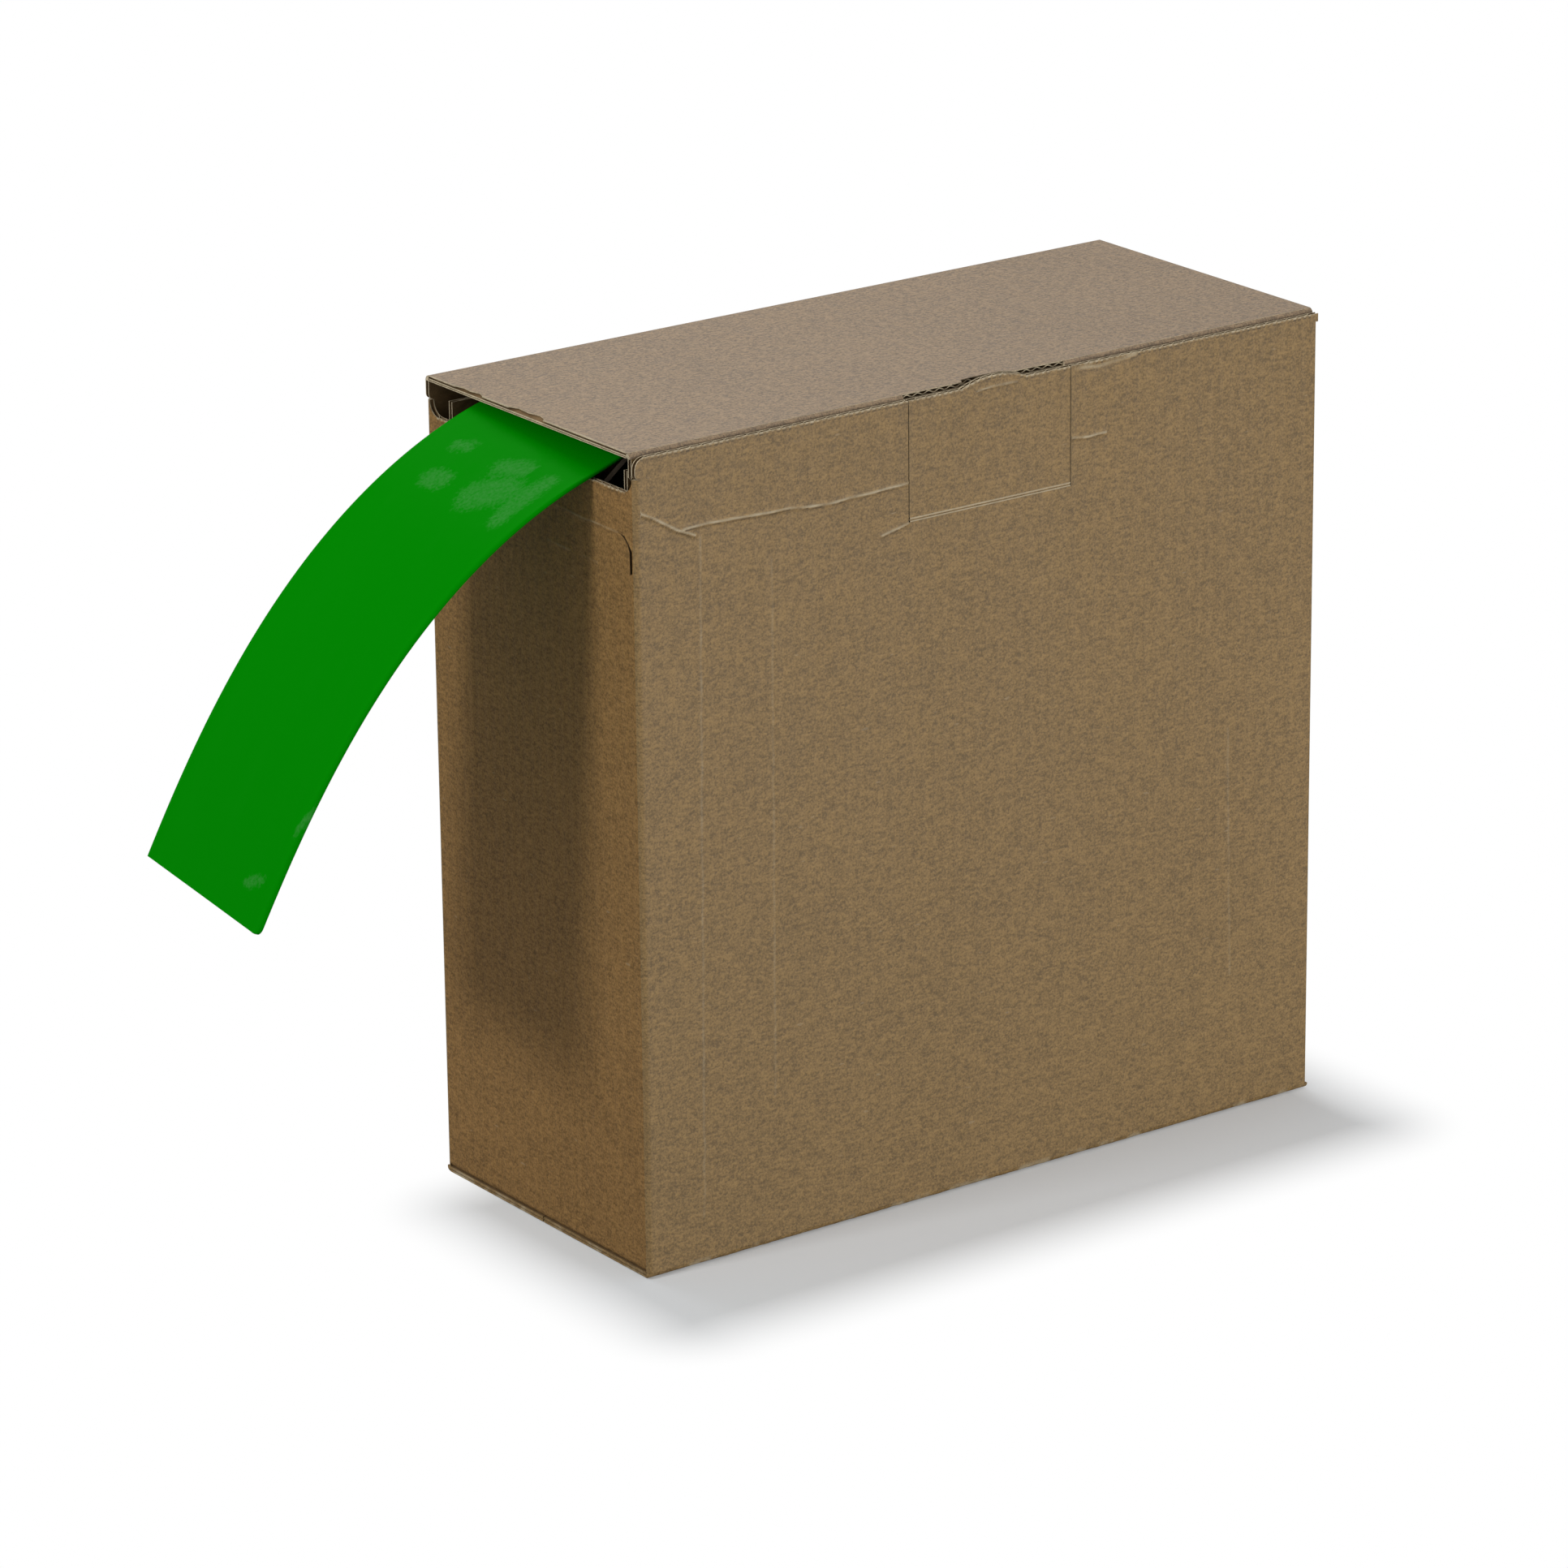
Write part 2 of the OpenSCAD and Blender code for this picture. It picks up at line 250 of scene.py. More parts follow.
@dataclass(frozen=True)
class KraftLiner:
    """Brown kraft paper over flutes."""

    name: str = "kraft_liner"
    base: Colour = (0.262, 0.163, 0.059)
    # pale colour of wear at the foot, of flute ends along raw edges, and of wear with a painted highlight on the
    # pressed lines
    pale_wear_and_highlight: Colour = (0.56, 0.46, 0.30)
    flute_axis: int = 0
    grain: tuple[float, float, float] = (0.35, 0.35, 1.0)
    contrast: float = 1.0
    specular: float = 0.6
    pitch: float = 3.5 * MM
    scuff_from: float = 2.2 * MM
    scuff_full: float = 0.4 * MM
    relief: float = 0.09 * MM

    def make(self) -> bpy.types.Material:
        """Builds the material.

        Returns:
            The new material.
        """
        g = Graph(self.name)
        blotch = g.cloud(0.06, 2.0)
        mottle = g.cloud(0.006, 3.0, 0.6)
        fibre = g.cloud(0.0009, 2.0, 0.6, self.grain)
        grain = g.cloud(0.0006, 2.0, 0.7)
        flute = (g.axis(self.flute_axis) * (2.0 * math.pi / self.pitch)).sin()
        tone = blotch * 0.16 + mottle * 0.32 + fibre * 1.0 + grain * 1.9 + flute * 0.035
        share = (tone * (0.62 * self.contrast) + 0.5).clamp()
        colour = g.shade(share, self.base, 0.58, 1.42)
        fleck = g.cloud(0.0013, 1.0, 0.5, (1.0, 1.0, 2.2)).step_up(0.52, 0.66)
        colour = g.blend(fleck * 0.55, colour, (0.095, 0.052, 0.018))
        straw = g.cloud(0.0021, 1.0, 0.5, (0.5, 0.5, 1.8)).step_up(-0.50, -0.64)
        colour = g.blend(straw * 0.35, colour, (0.44, 0.34, 0.21))
        # Pale marks from the vertex attribute: wear, flute ends and a painted highlight on the pressed lines; where it
        # is negative, painted shade just below the lines.
        wear_and_painted_light = g.wear_and_painted_light()
        colour = g.blend((wear_and_painted_light * (fibre * 0.5 + 0.95)).clamp(), colour, self.pale_wear_and_highlight)
        colour = g.blend((wear_and_painted_light * -0.8).clamp(), colour, (0.045, 0.028, 0.012))
        scuffed = g.axis(2).step_up(self.scuff_from, self.scuff_full) * g.cloud(0.009, 3.0, 0.6).step_up(-0.02, 0.25)
        colour = g.blend(scuffed * 0.75, colour, self.pale_wear_and_highlight)
        relief = fibre * 0.3 + grain * 0.3 + mottle * 0.4 + flute * 0.35 + 0.5
        rough = mottle * 0.05 + 0.62
        return g.finish(colour, rough, relief, self.relief, self.specular)


@dataclass(frozen=True)
class FluteMedium:
    """Rougher brown paper of the fluted medium and the inner liner, darker than the outer liner: partly its own tone,
    partly painted shade in the flutes and inside the carton.
    """

    name: str = "kraft_inside"
    base: Colour = (0.190, 0.120, 0.055)

    def make(self) -> bpy.types.Material:
        """Builds the material.

        Returns:
            The new material.
        """
        g = Graph(self.name)
        mottle = g.cloud(0.004, 3.0, 0.6)
        fibre = g.cloud(0.0012, 2.0, 0.6, (0.5, 0.5, 1.0))
        share = (mottle * 0.35 + fibre * 0.45 + 0.5).clamp()
        return g.finish(g.shade(share, self.base, 0.66, 1.3), mottle * 0.04 + 0.88, fibre + mottle, 0.00006, 0.2)


@dataclass(frozen=True)
class CutEdge:
    """Pale torn and cut edge of a paper liner."""

    name: str = "kraft_cut_edge"
    base: Colour = (0.60, 0.50, 0.34)

    def make(self) -> bpy.types.Material:
        """Builds the material.

        Returns:
            The new material.
        """
        g = Graph(self.name)
        patch = g.cloud(0.0024, 3.0, 0.65)
        fibre = g.cloud(0.0007, 2.0, 0.6)
        share = (patch * 0.6 + fibre * 0.4 + 0.5).clamp()
        return g.finish(g.shade(share, self.base, 0.5, 1.35), fibre * 0.04 + 0.9, fibre, 0.00006, 0.2)


@dataclass(frozen=True)
class Greyboard:
    """Solid grey board of the reel's flanges, with flecks of waste paper, its base darkened brown as painted shade."""

    name: str = "greyboard"
    # darkened far below real grey board: painted shade inside the carton
    base: Colour = (0.080, 0.060, 0.040)

    def make(self) -> bpy.types.Material:
        """Builds the material.

        Returns:
            The new material.
        """
        g = Graph(self.name)
        mottle = g.cloud(0.009, 4.0, 0.6)
        fibre = g.cloud(0.0014, 3.0, 0.6)
        layer = (g.axis(1) * (2.0 * math.pi / 0.0005)).sin()
        share = (mottle * 0.5 + fibre * 0.5 + 0.5).clamp()
        colour = g.shade(share, self.base, 0.72, 1.25)
        fleck = g.cloud(0.0022, 1.0).step_up(0.45, 0.6)
        colour = g.blend(fleck * 0.5, colour, (0.07, 0.075, 0.09))
        return g.finish(colour, fibre * 0.05 + 0.8, fibre + mottle + layer * 0.2, 0.00008, 0.3)


@dataclass(frozen=True)
class PaperTube:
    """Spiral-wound paper tube about an axis along Y."""

    name: str = "paper_tube"
    base: Colour = (0.285, 0.205, 0.120)
    ply: float = 38 * MM
    axle_z: float = 109.5 * MM

    def make(self) -> bpy.types.Material:
        """Builds the material.

        Returns:
            The new material.
        """
        g = Graph(self.name)
        centred = g.axis(2) - self.axle_z
        turn = g.add("ShaderNodeMath", {"operation": "ARCTAN2"}, {0: centred, 1: g.axis(0)}) / (2.0 * math.pi)
        spiral = g.add("ShaderNodeMath", {"operation": "FRACT"}, {0: g.axis(1) / self.ply + turn})
        seam = spiral.step_up(0.0, 0.02) * spiral.step_up(1.0, 0.98)
        mottle = g.cloud(0.006, 3.0, 0.6)
        fibre = g.cloud(0.0012, 2.0, 0.6)
        share = (mottle * 0.4 + fibre * 0.4 + 0.5).clamp()
        colour = g.blend(seam, (0.13, 0.09, 0.05), g.shade(share, self.base, 0.72, 1.25))
        return g.finish(colour, fibre * 0.05 + 0.72, seam * 1.5 + fibre * 0.4, 0.0001, 0.35)


@dataclass(frozen=True)
class GreenTube:
    """Green heat-shrink plastic, semi-gloss, with soft scuffs and painted highlights."""

    name: str = "green_tube"
    base: Colour = (0.0004, 0.252, 0.0003)

    def make(self) -> bpy.types.Material:
        """Builds the material.

        Returns:
            The new material.
        """
        g = Graph(self.name)
        scuff = g.cloud(0.011, 4.0, 0.62).step_up(0.12, 0.42)
        grain = g.cloud(0.0009, 2.0, 0.6)
        draw = g.cloud(0.004, 2.0, 0.5, (0.12, 1.0, 0.12))
        wear_and_painted_light = g.wear_and_painted_light()
        speckle = scuff * 0.012 + grain * 0.012 + draw * 0.015
        # The vertex attribute adds painted highlight patches and a painted highlight line along the folded edge,
        # toward a paler green that also tints the random speckle.
        share = (speckle + (wear_and_painted_light * 1.1 + grain * 0.9 - 0.45).clamp() * 0.8).clamp()
        colour = g.blend(share, self.base, (0.045, 0.29, 0.045))
        rough = scuff * 0.16 + grain * 0.03 + 0.30
        return g.finish(colour, rough, grain * 0.25 + draw * 0.5 + scuff * 0.3, 0.00003, 0.005)


class Finishes:
    """The finished materials of the scene, each made once."""

    def __init__(self) -> None:
        """Makes every material."""
        self.wall = KraftLiner("kraft_liner_wall").make()
        self.end = KraftLiner("kraft_liner_end", flute_axis=1).make()
        # The slot end's liner is more orange and less blue than the walls': painted warm bounce light on that side.
        self.slot_end = KraftLiner(
            "kraft_liner_slot_end_painted_warm_light", base=(0.268, 0.150, 0.051), flute_axis=1, specular=0.2,
        ).make()
        # The liner of the lid and the other upward boards is paler and greyer than the walls': a painted sheen.
        self.top = KraftLiner(
            "kraft_liner_top_painted_sheen", base=(0.248, 0.170, 0.097), grain=(0.35, 1.0, 1.0), contrast=1.4,
        ).make()
        self.inside = FluteMedium().make()
        self.edge = CutEdge().make()
        self.greyboard = Greyboard().make()
        self.paper = PaperTube().make()
        self.green = GreenTube().make()


# ---------------------------------------------------------------- the bench


class Facing(Enum):
    """The way a board's outer face looks, as its turn from lying flat, in degrees."""

    FRONT = (90.0, 0.0, 0.0)
    BACK = (90.0, 0.0, 180.0)
    SLOT_END = (90.0, 0.0, -90.0)
    CLOSED_END = (90.0, 0.0, 90.0)
    UP = (0.0, 0.0, 0.0)
    DOWN = (180.0, 0.0, 0.0)

    def turn(self) -> Matrix:
        """The turn as a matrix."""
        return Euler([math.radians(a) for a in self.value]).to_matrix()

    def flat_box(self, node: str) -> tuple[Vector, Vector]:
        """Finds the box of a CAD node with the board laid flat, its outer face up.

        Args:
            node: Name of the CAD node.

        Returns:
            Lowest and highest corner.
        """
        back = self.turn().transposed()
        a, b = (back @ Vector(corner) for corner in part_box(node))
        return Vector(map(min, a, b)), Vector(map(max, a, b))


class Bench:
    """Modelling steps on mesh pieces."""

    @staticmethod
    def clear() -> None:
        """Deselects everything."""
        if bpy.context.object and bpy.context.object.mode != "OBJECT":
            bpy.ops.object.mode_set(mode="OBJECT")
        bpy.ops.object.select_all(action="DESELECT")

    @staticmethod
    def take(piece: bpy.types.Object) -> bpy.types.Object:
        """Makes one piece the selected and active one.

        Args:
            piece: The piece.

        Returns:
            The same piece.
        """
        Bench.clear()
        piece.select_set(True)
        bpy.context.view_layer.objects.active = piece
        return piece

    @staticmethod
    @contextmanager
    def editing(piece: bpy.types.Object) -> Iterator[None]:
        """Holds a piece in edit mode with everything selected, for the steps of a block.

        Args:
            piece: The piece to edit.

        Returns:
            The context for the block.
        """
        Bench.take(piece)
        bpy.ops.object.mode_set(mode="EDIT")
        bpy.ops.mesh.select_all(action="SELECT")
        yield
        bpy.ops.object.mode_set(mode="OBJECT")

    @staticmethod
    def sheet(name: str, low: Point2, high: Point2, level: float, cells: tuple[int, int] = (1, 1)) -> bpy.types.Object:
        """Adds a flat grid that looks up.

        Args:
            name: Name of the piece.
            low: Its low corner.
            high: Its high corner.
            level: Its height.
            cells: Cells along the two sides.

        Returns:
            The piece, with its place in its mesh.
        """
        Bench.clear()
        middle = ((low[0] + high[0]) / 2, (low[1] + high[1]) / 2, level)
        bpy.ops.mesh.primitive_grid_add(x_subdivisions=cells[0], y_subdivisions=cells[1], size=1.0, location=middle)
        piece = bpy.context.object
        piece.name = piece.data.name = name
        piece.scale = (high[0] - low[0], high[1] - low[1], 1.0)
        bpy.ops.object.transform_apply(location=True, rotation=True, scale=True)
        return piece

    @staticmethod
    def pick(piece: bpy.types.Object, test: Callable[[Vector], bool]) -> int:
        """Selects vertices by their place and enters edit mode.

        Args:
            piece: The piece.
            test: Whether a vertex at that place is wanted.

        Returns:
            How many are selected.
        """
        Bench.take(piece)
        mesh = piece.data
        for group in (mesh.polygons, mesh.edges):
            group.foreach_set("select", [False] * len(group))
        wanted = [test(v.co) for v in mesh.vertices]
        mesh.vertices.foreach_set("select", wanted)
        bpy.ops.object.mode_set(mode="EDIT")
        bpy.ops.mesh.select_mode(type="VERT")
        return sum(wanted)

    @staticmethod
    def shift(piece: bpy.types.Object, test: Callable[[Vector], bool], by: Sequence[float]) -> None:
        """Moves the vertices that pass a test.

        Args:
            piece: The piece.
            test: Whether a vertex at that place moves.
            by: How far it moves.
        """
        if Bench.pick(piece, test):
            bpy.ops.transform.translate(value=tuple(by))
        bpy.ops.object.mode_set(mode="OBJECT")

    @staticmethod
    def apply(piece: bpy.types.Object, kind: str, **settings: object) -> None:
        """Adds one modifier and applies it.

        Args:
            piece: The piece.
            kind: The modifier's type.
            settings: The modifier's properties.
        """
        Bench.take(piece)
        modifier = piece.modifiers.new(kind.lower(), kind)
        for key, value in settings.items():
            setattr(modifier, key, value)
        bpy.ops.object.modifier_apply(modifier=modifier.name)

    @staticmethod
    def roughen(piece: bpy.types.Object, offset: float, seed: int) -> None:
        """Moves every vertex a little, the same way each time."""
        with Bench.editing(piece):
            bpy.ops.transform.vertex_random(offset=offset, seed=seed)

    @staticmethod
    def join(pieces: Sequence[bpy.types.Object]) -> bpy.types.Object:
        """Joins pieces into the first one.

        Args:
            pieces: The pieces, first the one that stays.

        Returns:
            The joined piece.
        """
        Bench.clear()
        for piece in pieces:
            piece.select_set(True)
        bpy.context.view_layer.objects.active = pieces[0]
        if len(pieces) > 1:
            bpy.ops.object.join()
        return pieces[0]

    @staticmethod
    def outward(piece: bpy.types.Object) -> None:
        """Merges doubled vertices and turns all faces outward.

        Args:
            piece: The piece to clean.
        """
        with Bench.editing(piece):
            bpy.ops.mesh.remove_doubles(threshold=1e-6)
            bpy.ops.mesh.normals_make_consistent(inside=False)

    @staticmethod
    def bridge_rims(piece: bpy.types.Object, test: Callable[[Vector], bool]) -> None:
        """Bridges the open rims whose vertices pass a test.

        Args:
            piece: The piece.
            test: Whether a vertex at that place is on the rims wanted.
        """
        Bench.take(piece)
        mesh = piece.data
        uses = Counter(key for face in mesh.polygons for key in face.edge_keys)
        for group in (mesh.polygons, mesh.vertices):
            group.foreach_set("select", [False] * len(group))
        places = [v.co for v in mesh.vertices]
        rims = [uses[e.key] == 1 and all(test(places[k]) for k in e.key) for e in mesh.edges]
        mesh.edges.foreach_set("select", rims)
        for edge, wanted in zip(mesh.edges, rims):
            for k in edge.key if wanted else ():
                mesh.vertices[k].select = True
        bpy.ops.object.mode_set(mode="EDIT")
        bpy.ops.mesh.select_mode(type="EDGE")
        bpy.ops.mesh.bridge_edge_loops()
        bpy.ops.object.mode_set(mode="OBJECT")

    @staticmethod
    def prism(points: Sequence[Point2], low: float, high: float) -> bpy.types.Object:
        """Adds a cutter from its outline.

        Args:
            points: Corners of the outline.
            low: Lower level.
            high: Upper level.

        Returns:
            The cutter.
        """
        Bench.clear()
        bpy.ops.mesh.primitive_circle_add(vertices=len(points), radius=1.0, fill_type="NGON")
        cutter = bpy.context.object
        for vertex, (u, v) in zip(cutter.data.vertices, points):
            vertex.co = (u, v, low)
        with Bench.editing(cutter):
            bpy.ops.mesh.extrude_region_move(TRANSFORM_OT_translate={"value": (0.0, 0.0, high - low)})
            bpy.ops.mesh.select_all(action="SELECT")
            bpy.ops.mesh.normals_make_consistent(inside=False)
        return cutter

    @staticmethod
    def cut(piece: bpy.types.Object, cutter: bpy.types.Object, face_slot: int) -> None:
        """Cuts a shape out of a piece and removes the cutter.

        Args:
            piece: The piece.
            cutter: The shape that is cut away.
            face_slot: Material slot that the new faces take.
        """
        for material in piece.data.materials:
            cutter.data.materials.append(material)
        cutter.data.polygons.foreach_set("material_index", [face_slot] * len(cutter.data.polygons))
        Bench.apply(piece, "BOOLEAN", operation="DIFFERENCE", solver="EXACT", object=cutter)
        bpy.data.objects.remove(cutter)

    @staticmethod
    def swept(
        name: str, axis: tuple[Vector, Vector], spoke: Vector, radii: Point2, angle: float, cells: tuple[int, int],
    ) -> bpy.types.Object:
        """Spins a flat strip about an axis into a curved wall.

        Args:
            name: Name of the piece.
            axis: The axis's two ends, which are the ends of the strip.
            spoke: Direction from the axis to the strip.
            radii: Inner and outer radius.
            angle: Angle of the spin in degrees, right-handed about the axis.
            cells: Steps along the strip and steps of the spin.

        Returns:
            The piece, closed, with its faces outward.
        """
        start, end = axis
        along, steps = cells
        piece = Bench.sheet(name, (0.0, 0.0), (1.0, 1.0), 0.0, (1, along))
        for k, vertex in enumerate(piece.data.vertices):
            vertex.co = start.lerp(end, (k // 2) / along) + spoke * radii[k % 2]
        with Bench.editing(piece):
            # with no window, spin turns against the right-hand rule
            bpy.ops.mesh.spin(steps=steps, angle=-math.radians(angle), center=start, axis=(end - start).normalized())
        Bench.outward(piece)
        return piece

    @staticmethod
    def turn_flat(piece: bpy.types.Object, turn: Sequence[float]) -> None:
        """Turns a finished piece and writes the turn into its mesh.

        Args:
            piece: The piece to turn.
            turn: Its three Euler angles in radians.
        """
        piece.rotation_euler = turn
        Bench.take(piece)
        bpy.ops.object.transform_apply(location=True, rotation=True, scale=True)

    @staticmethod
    def dress(piece: bpy.types.Object, materials: Iterable[bpy.types.Material], smooth: float = SHADE_ANGLE) -> None:
        """Gives a piece its materials, and smooth shading up to an angle.

        Args:
            piece: The piece to dress.
            materials: Its materials in the order of their slots.
            smooth: Widest angle between two faces that is shaded smooth.
        """
        slots = piece.data.materials
        for k, material in enumerate(materials):
            if k < len(slots):
                slots[k] = material
            else:
                slots.append(material)
        Bench.take(piece)
        bpy.ops.object.shade_smooth_by_angle(angle=smooth)


def mm_points(*numbers: float) -> tuple[Point2, ...]:
    """Points from their places in millimetres, one number after the other."""
    return tuple((u * MM, v * MM) for u, v in zip(numbers[::2], numbers[1::2]))


def rectangle(u0: float, v0: float, u1: float, v1: float) -> list[Point2]:
    """Corners of a rectangle, in order."""
    return [(u0, v0), (u1, v0), (u1, v1), (u0, v1)]


@dataclass(frozen=True)
class Emboss:
    """A ridge or a groove pressed into a board's outer liner along a line of points."""

    path: tuple[Point2, ...]
    height: float
    width: float
    # strength of the pale mark and of the painted shade just below it
    wear_and_painted_light: float = 1.0
    dashes: float = 0.0
    wiggle: float = 0.3 * MM
    wiggle_scale: float = 170.0
    least_reach: float = 4.2 * MM

    @cached_property
    def reach(self) -> tuple[float, float, float, float]:
        """Works out the box outside which the line has no effect.

        Returns:
            Left, foot, right and head of the box.
        """
        pad = max(self.least_reach, self.width)
        us, vs = zip(*self.path)
        return min(us) - pad, min(vs) - pad, max(us) + pad, max(vs) + pad

    def distance(self, place: Vector) -> float:
        """Measures how far a place is from the line.

        Args:
            place: A place on the flat board.

        Returns:
            The distance in metres, or infinity outside the line's reach.
        """
        left, foot, right, head = self.reach
        if not (left < place.x < right and foot < place.y < head):
            return math.inf
        best = math.inf
        drift = self.wiggle * noise.noise(place * self.wiggle_scale)
        spot = Vector((place.x + drift, place.y + drift))
        for a, b in zip(self.path, self.path[1:]):
            start, run = Vector(a), Vector(b) - Vector(a)
            share = max(0.0, min(1.0, (spot - start).dot(run) / run.length_squared))
            best = min(best, (spot - start - run * share).length)
        return best


def pressed(height: float, width: float, wear_and_painted_light: float, *numbers: float) -> Emboss:
    """A pressed line, with its height, its width and its points in millimetres."""
    return Emboss(mm_points(*numbers), height * MM, width * MM, wear_and_painted_light)


def raw_edge(*path: Point2) -> Emboss:
    """The broken pale line of flutes that show along a raw edge."""
    return Emboss(path, 0.0, 0.9 * MM, 1.3, 1.75 * MM, 0.0)


@dataclass
class Board:
    """One panel of corrugated board: two liners with a fluted medium between them."""

    name: str
    node: str
    facing: Facing
    liner: bpy.types.Material
    inside: bpy.types.Material
    edge: bpy.types.Material
    cells: tuple[int, int] = (12, 12)
    cuts: Sequence[Sequence[Point2]] = ()
    slits: Sequence[Sequence[Point2]] = ()
    liner_cuts: Sequence[Sequence[Point2]] = ()
    embossing: Sequence[Emboss] = ()
    margins: tuple[float, float, float, float] = (0.0, 0.0, 0.0, 0.0)
    pitch: float = 3.5 * MM
    liner_t: float = 0.26 * MM
    medium_t: float = 0.20 * MM
    flute_points: int = 8
    clearance: float = 0.01 * MM
    recess: float = 2.5 * MM
    refine: int = 5
    refined: float = 3.9 * MM
    mark_break_scale: float = 260.0
    dash_dim: float = 0.25
    shade_offset: float = 0.55

    def build(self) -> bpy.types.Object:
        """Builds the panel in the box of its CAD node.

        Returns:
            The piece.
        """
        low, high = self.facing.flat_box(self.node)
        left, foot, right, head = self.margins
        low += Vector((left, foot, 0.0))
        high -= Vector((right, head, 0.0))
        layers = [self._outer(low, high), self._medium(low, high), self._inner(low, high)]
        piece = Bench.join(layers)
        piece.name = piece.data.name = self.name
        # Cut walls take the pale edge finish; slit walls take the dark inside finish, painted shade in the gap.
        for outlines, slot in ((self.cuts, EDGE), (self.slits, INSIDE)):
            for outline in outlines:
                Bench.cut(piece, Bench.prism(outline, low.z - MM, high.z + MM), slot)
        self._mark_wear_and_painted_light(piece, high.z - self.liner_t)
        Bench.turn_flat(piece, [math.radians(a) for a in self.facing.value])
        Bench.dress(piece, (self.liner, self.inside, self.edge))
        return piece

    def fill_slots(self, piece: bpy.types.Object) -> None:
        """Gives a piece the board's three materials in the order of their slots.

        Args:
            piece: The piece to dress.
        """
        piece.data.materials.clear()
        for material in (self.liner, self.inside, self.edge):
            piece.data.materials.append(material)

    def _mark_wear_and_painted_light(self, piece: bpy.types.Object, level: float) -> None:
        """Marks the lines pale, as wear and a painted highlight, and a band just below them dark, as painted shade, in
        an attribute for the finish.

        Args:
            piece: The board, still lying flat.
            level: Only what is above this level is marked.
        """
        values = []
        for vertex in piece.data.vertices:
            value = 0.0
            for mark in self.embossing if vertex.co.z > level else ():
                broken = 0.8 + 0.9 * noise.noise(vertex.co * self.mark_break_scale)
                if mark.dashes and math.sin(2.0 * math.pi * vertex.co.x / mark.dashes) < 0.0:
                    broken *= self.dash_dim
                near = max(0.0, 1.0 - mark.distance(vertex.co) / (0.5 * mark.width))
                # painted shade: a dark band just below each line, kept as negative values
                under = mark.distance(vertex.co + Vector((0.0, self.shade_offset * mark.width, 0.0)))
                shade = max(0.0, 1.0 - under / (0.4 * mark.width))
                value = max(value, near * mark.wear_and_painted_light * broken) or min(value, -shade * mark.wear_and_painted_light * broken)
            values.append(value)
        mark_wear_and_painted_light(piece, values)

    def _slab(self, piece: bpy.types.Object, thickness: float, face: int) -> None:
        """Thickens a sheet downward and gives its faces their slots.

        Args:
            piece: The sheet.
            thickness: How thick it becomes.
            face: Slot of its upper face.
        """
        self.fill_slots(piece)
        piece.data.polygons.foreach_set("material_index", [face] * len(piece.data.polygons))
        Bench.apply(
            piece, "SOLIDIFY", thickness=thickness, offset=-1.0, use_even_offset=False,
            material_offset=INSIDE - face, material_offset_rim=EDGE - face,
        )

    def _outer(self, low: Vector, high: Vector) -> bpy.types.Object:
        """Builds the outer liner with its pressed lines and torn places.

        Args:
            low: Lowest corner of the flat panel.
            high: Highest corner of the flat panel.

        Returns:
            The liner.
        """
        piece = Bench.sheet(self.name, (low.x, low.y), (high.x, high.y), high.z, self.cells)
        if Bench.pick(piece, lambda co: any(mark.distance(co) < self.refined for mark in self.embossing)):
            bpy.ops.mesh.subdivide(number_cuts=self.refine)
        bpy.ops.object.mode_set(mode="OBJECT")
        for mark in (m for m in self.embossing if m.height):
            for share in (1.0, 0.66, 0.33):
                Bench.shift(piece, lambda co: mark.distance(co) < mark.width * share, (0.0, 0.0, mark.height / 3))
        self._slab(piece, self.liner_t, LINER)
        under = high.z - self.liner_t - self.clearance
        for outline in self.liner_cuts:
            Bench.cut(piece, Bench.prism(outline, under, high.z + MM), EDGE)
        return piece

    def _inner(self, low: Vector, high: Vector) -> bpy.types.Object:
        """Builds the plain inner liner.

        Args:
            low: Lowest corner of the flat panel.
            high: Highest corner of the flat panel.

        Returns:
            The liner.
        """
        piece = Bench.sheet(self.name + "_inner", (low.x, low.y), (high.x, high.y), low.z + self.liner_t, (2, 2))
        self._slab(piece, self.liner_t, INSIDE)
        return piece

    def _medium(self, low: Vector, high: Vector) -> bpy.types.Object:
        """Builds the fluted medium: one flute, repeated along the panel and trimmed to it.

        Args:
            low: Lowest corner of the flat panel.
            high: Highest corner of the flat panel.

        Returns:
            The medium.
        """
        count = math.ceil((high.x - low.x) / self.pitch) + 1
        middle = (low.z + high.z) / 2
        swing = (high.z - low.z) / 2 - self.liner_t - self.medium_t / 2 - self.clearance
        start = math.floor(low.x / self.pitch) * self.pitch
        far = (start + self.pitch, high.y)
        wave = Bench.sheet(self.name + "_medium", (start, low.y), far, middle, (self.flute_points, 1))
        for k in range(self.flute_points + 1):
            column = start + self.pitch * k / self.flute_points
            lift = swing * math.sin(2.0 * math.pi * k / self.flute_points)
            Bench.shift(wave, lambda co: abs(co.x - column) < self.clearance, (0.0, 0.0, lift))
        Bench.apply(
            wave, "ARRAY", count=count, use_relative_offset=False, use_constant_offset=True,
            constant_offset_displace=(self.pitch, 0.0, 0.0), use_merge_vertices=True, merge_threshold=self.clearance,
        )
        for side, normal in ((low.x + self.recess, -1.0), (high.x - self.recess, 1.0)):
            with Bench.editing(wave):
                bpy.ops.mesh.bisect(plane_co=(side, 0.0, 0.0), plane_no=(normal, 0.0, 0.0), clear_outer=True)
        self.fill_slots(wave)
        wave.data.polygons.foreach_set("material_index", [INSIDE] * len(wave.data.polygons))
        Bench.apply(wave, "SOLIDIFY", thickness=self.medium_t, offset=0.0, material_offset_rim=1)
        return wave


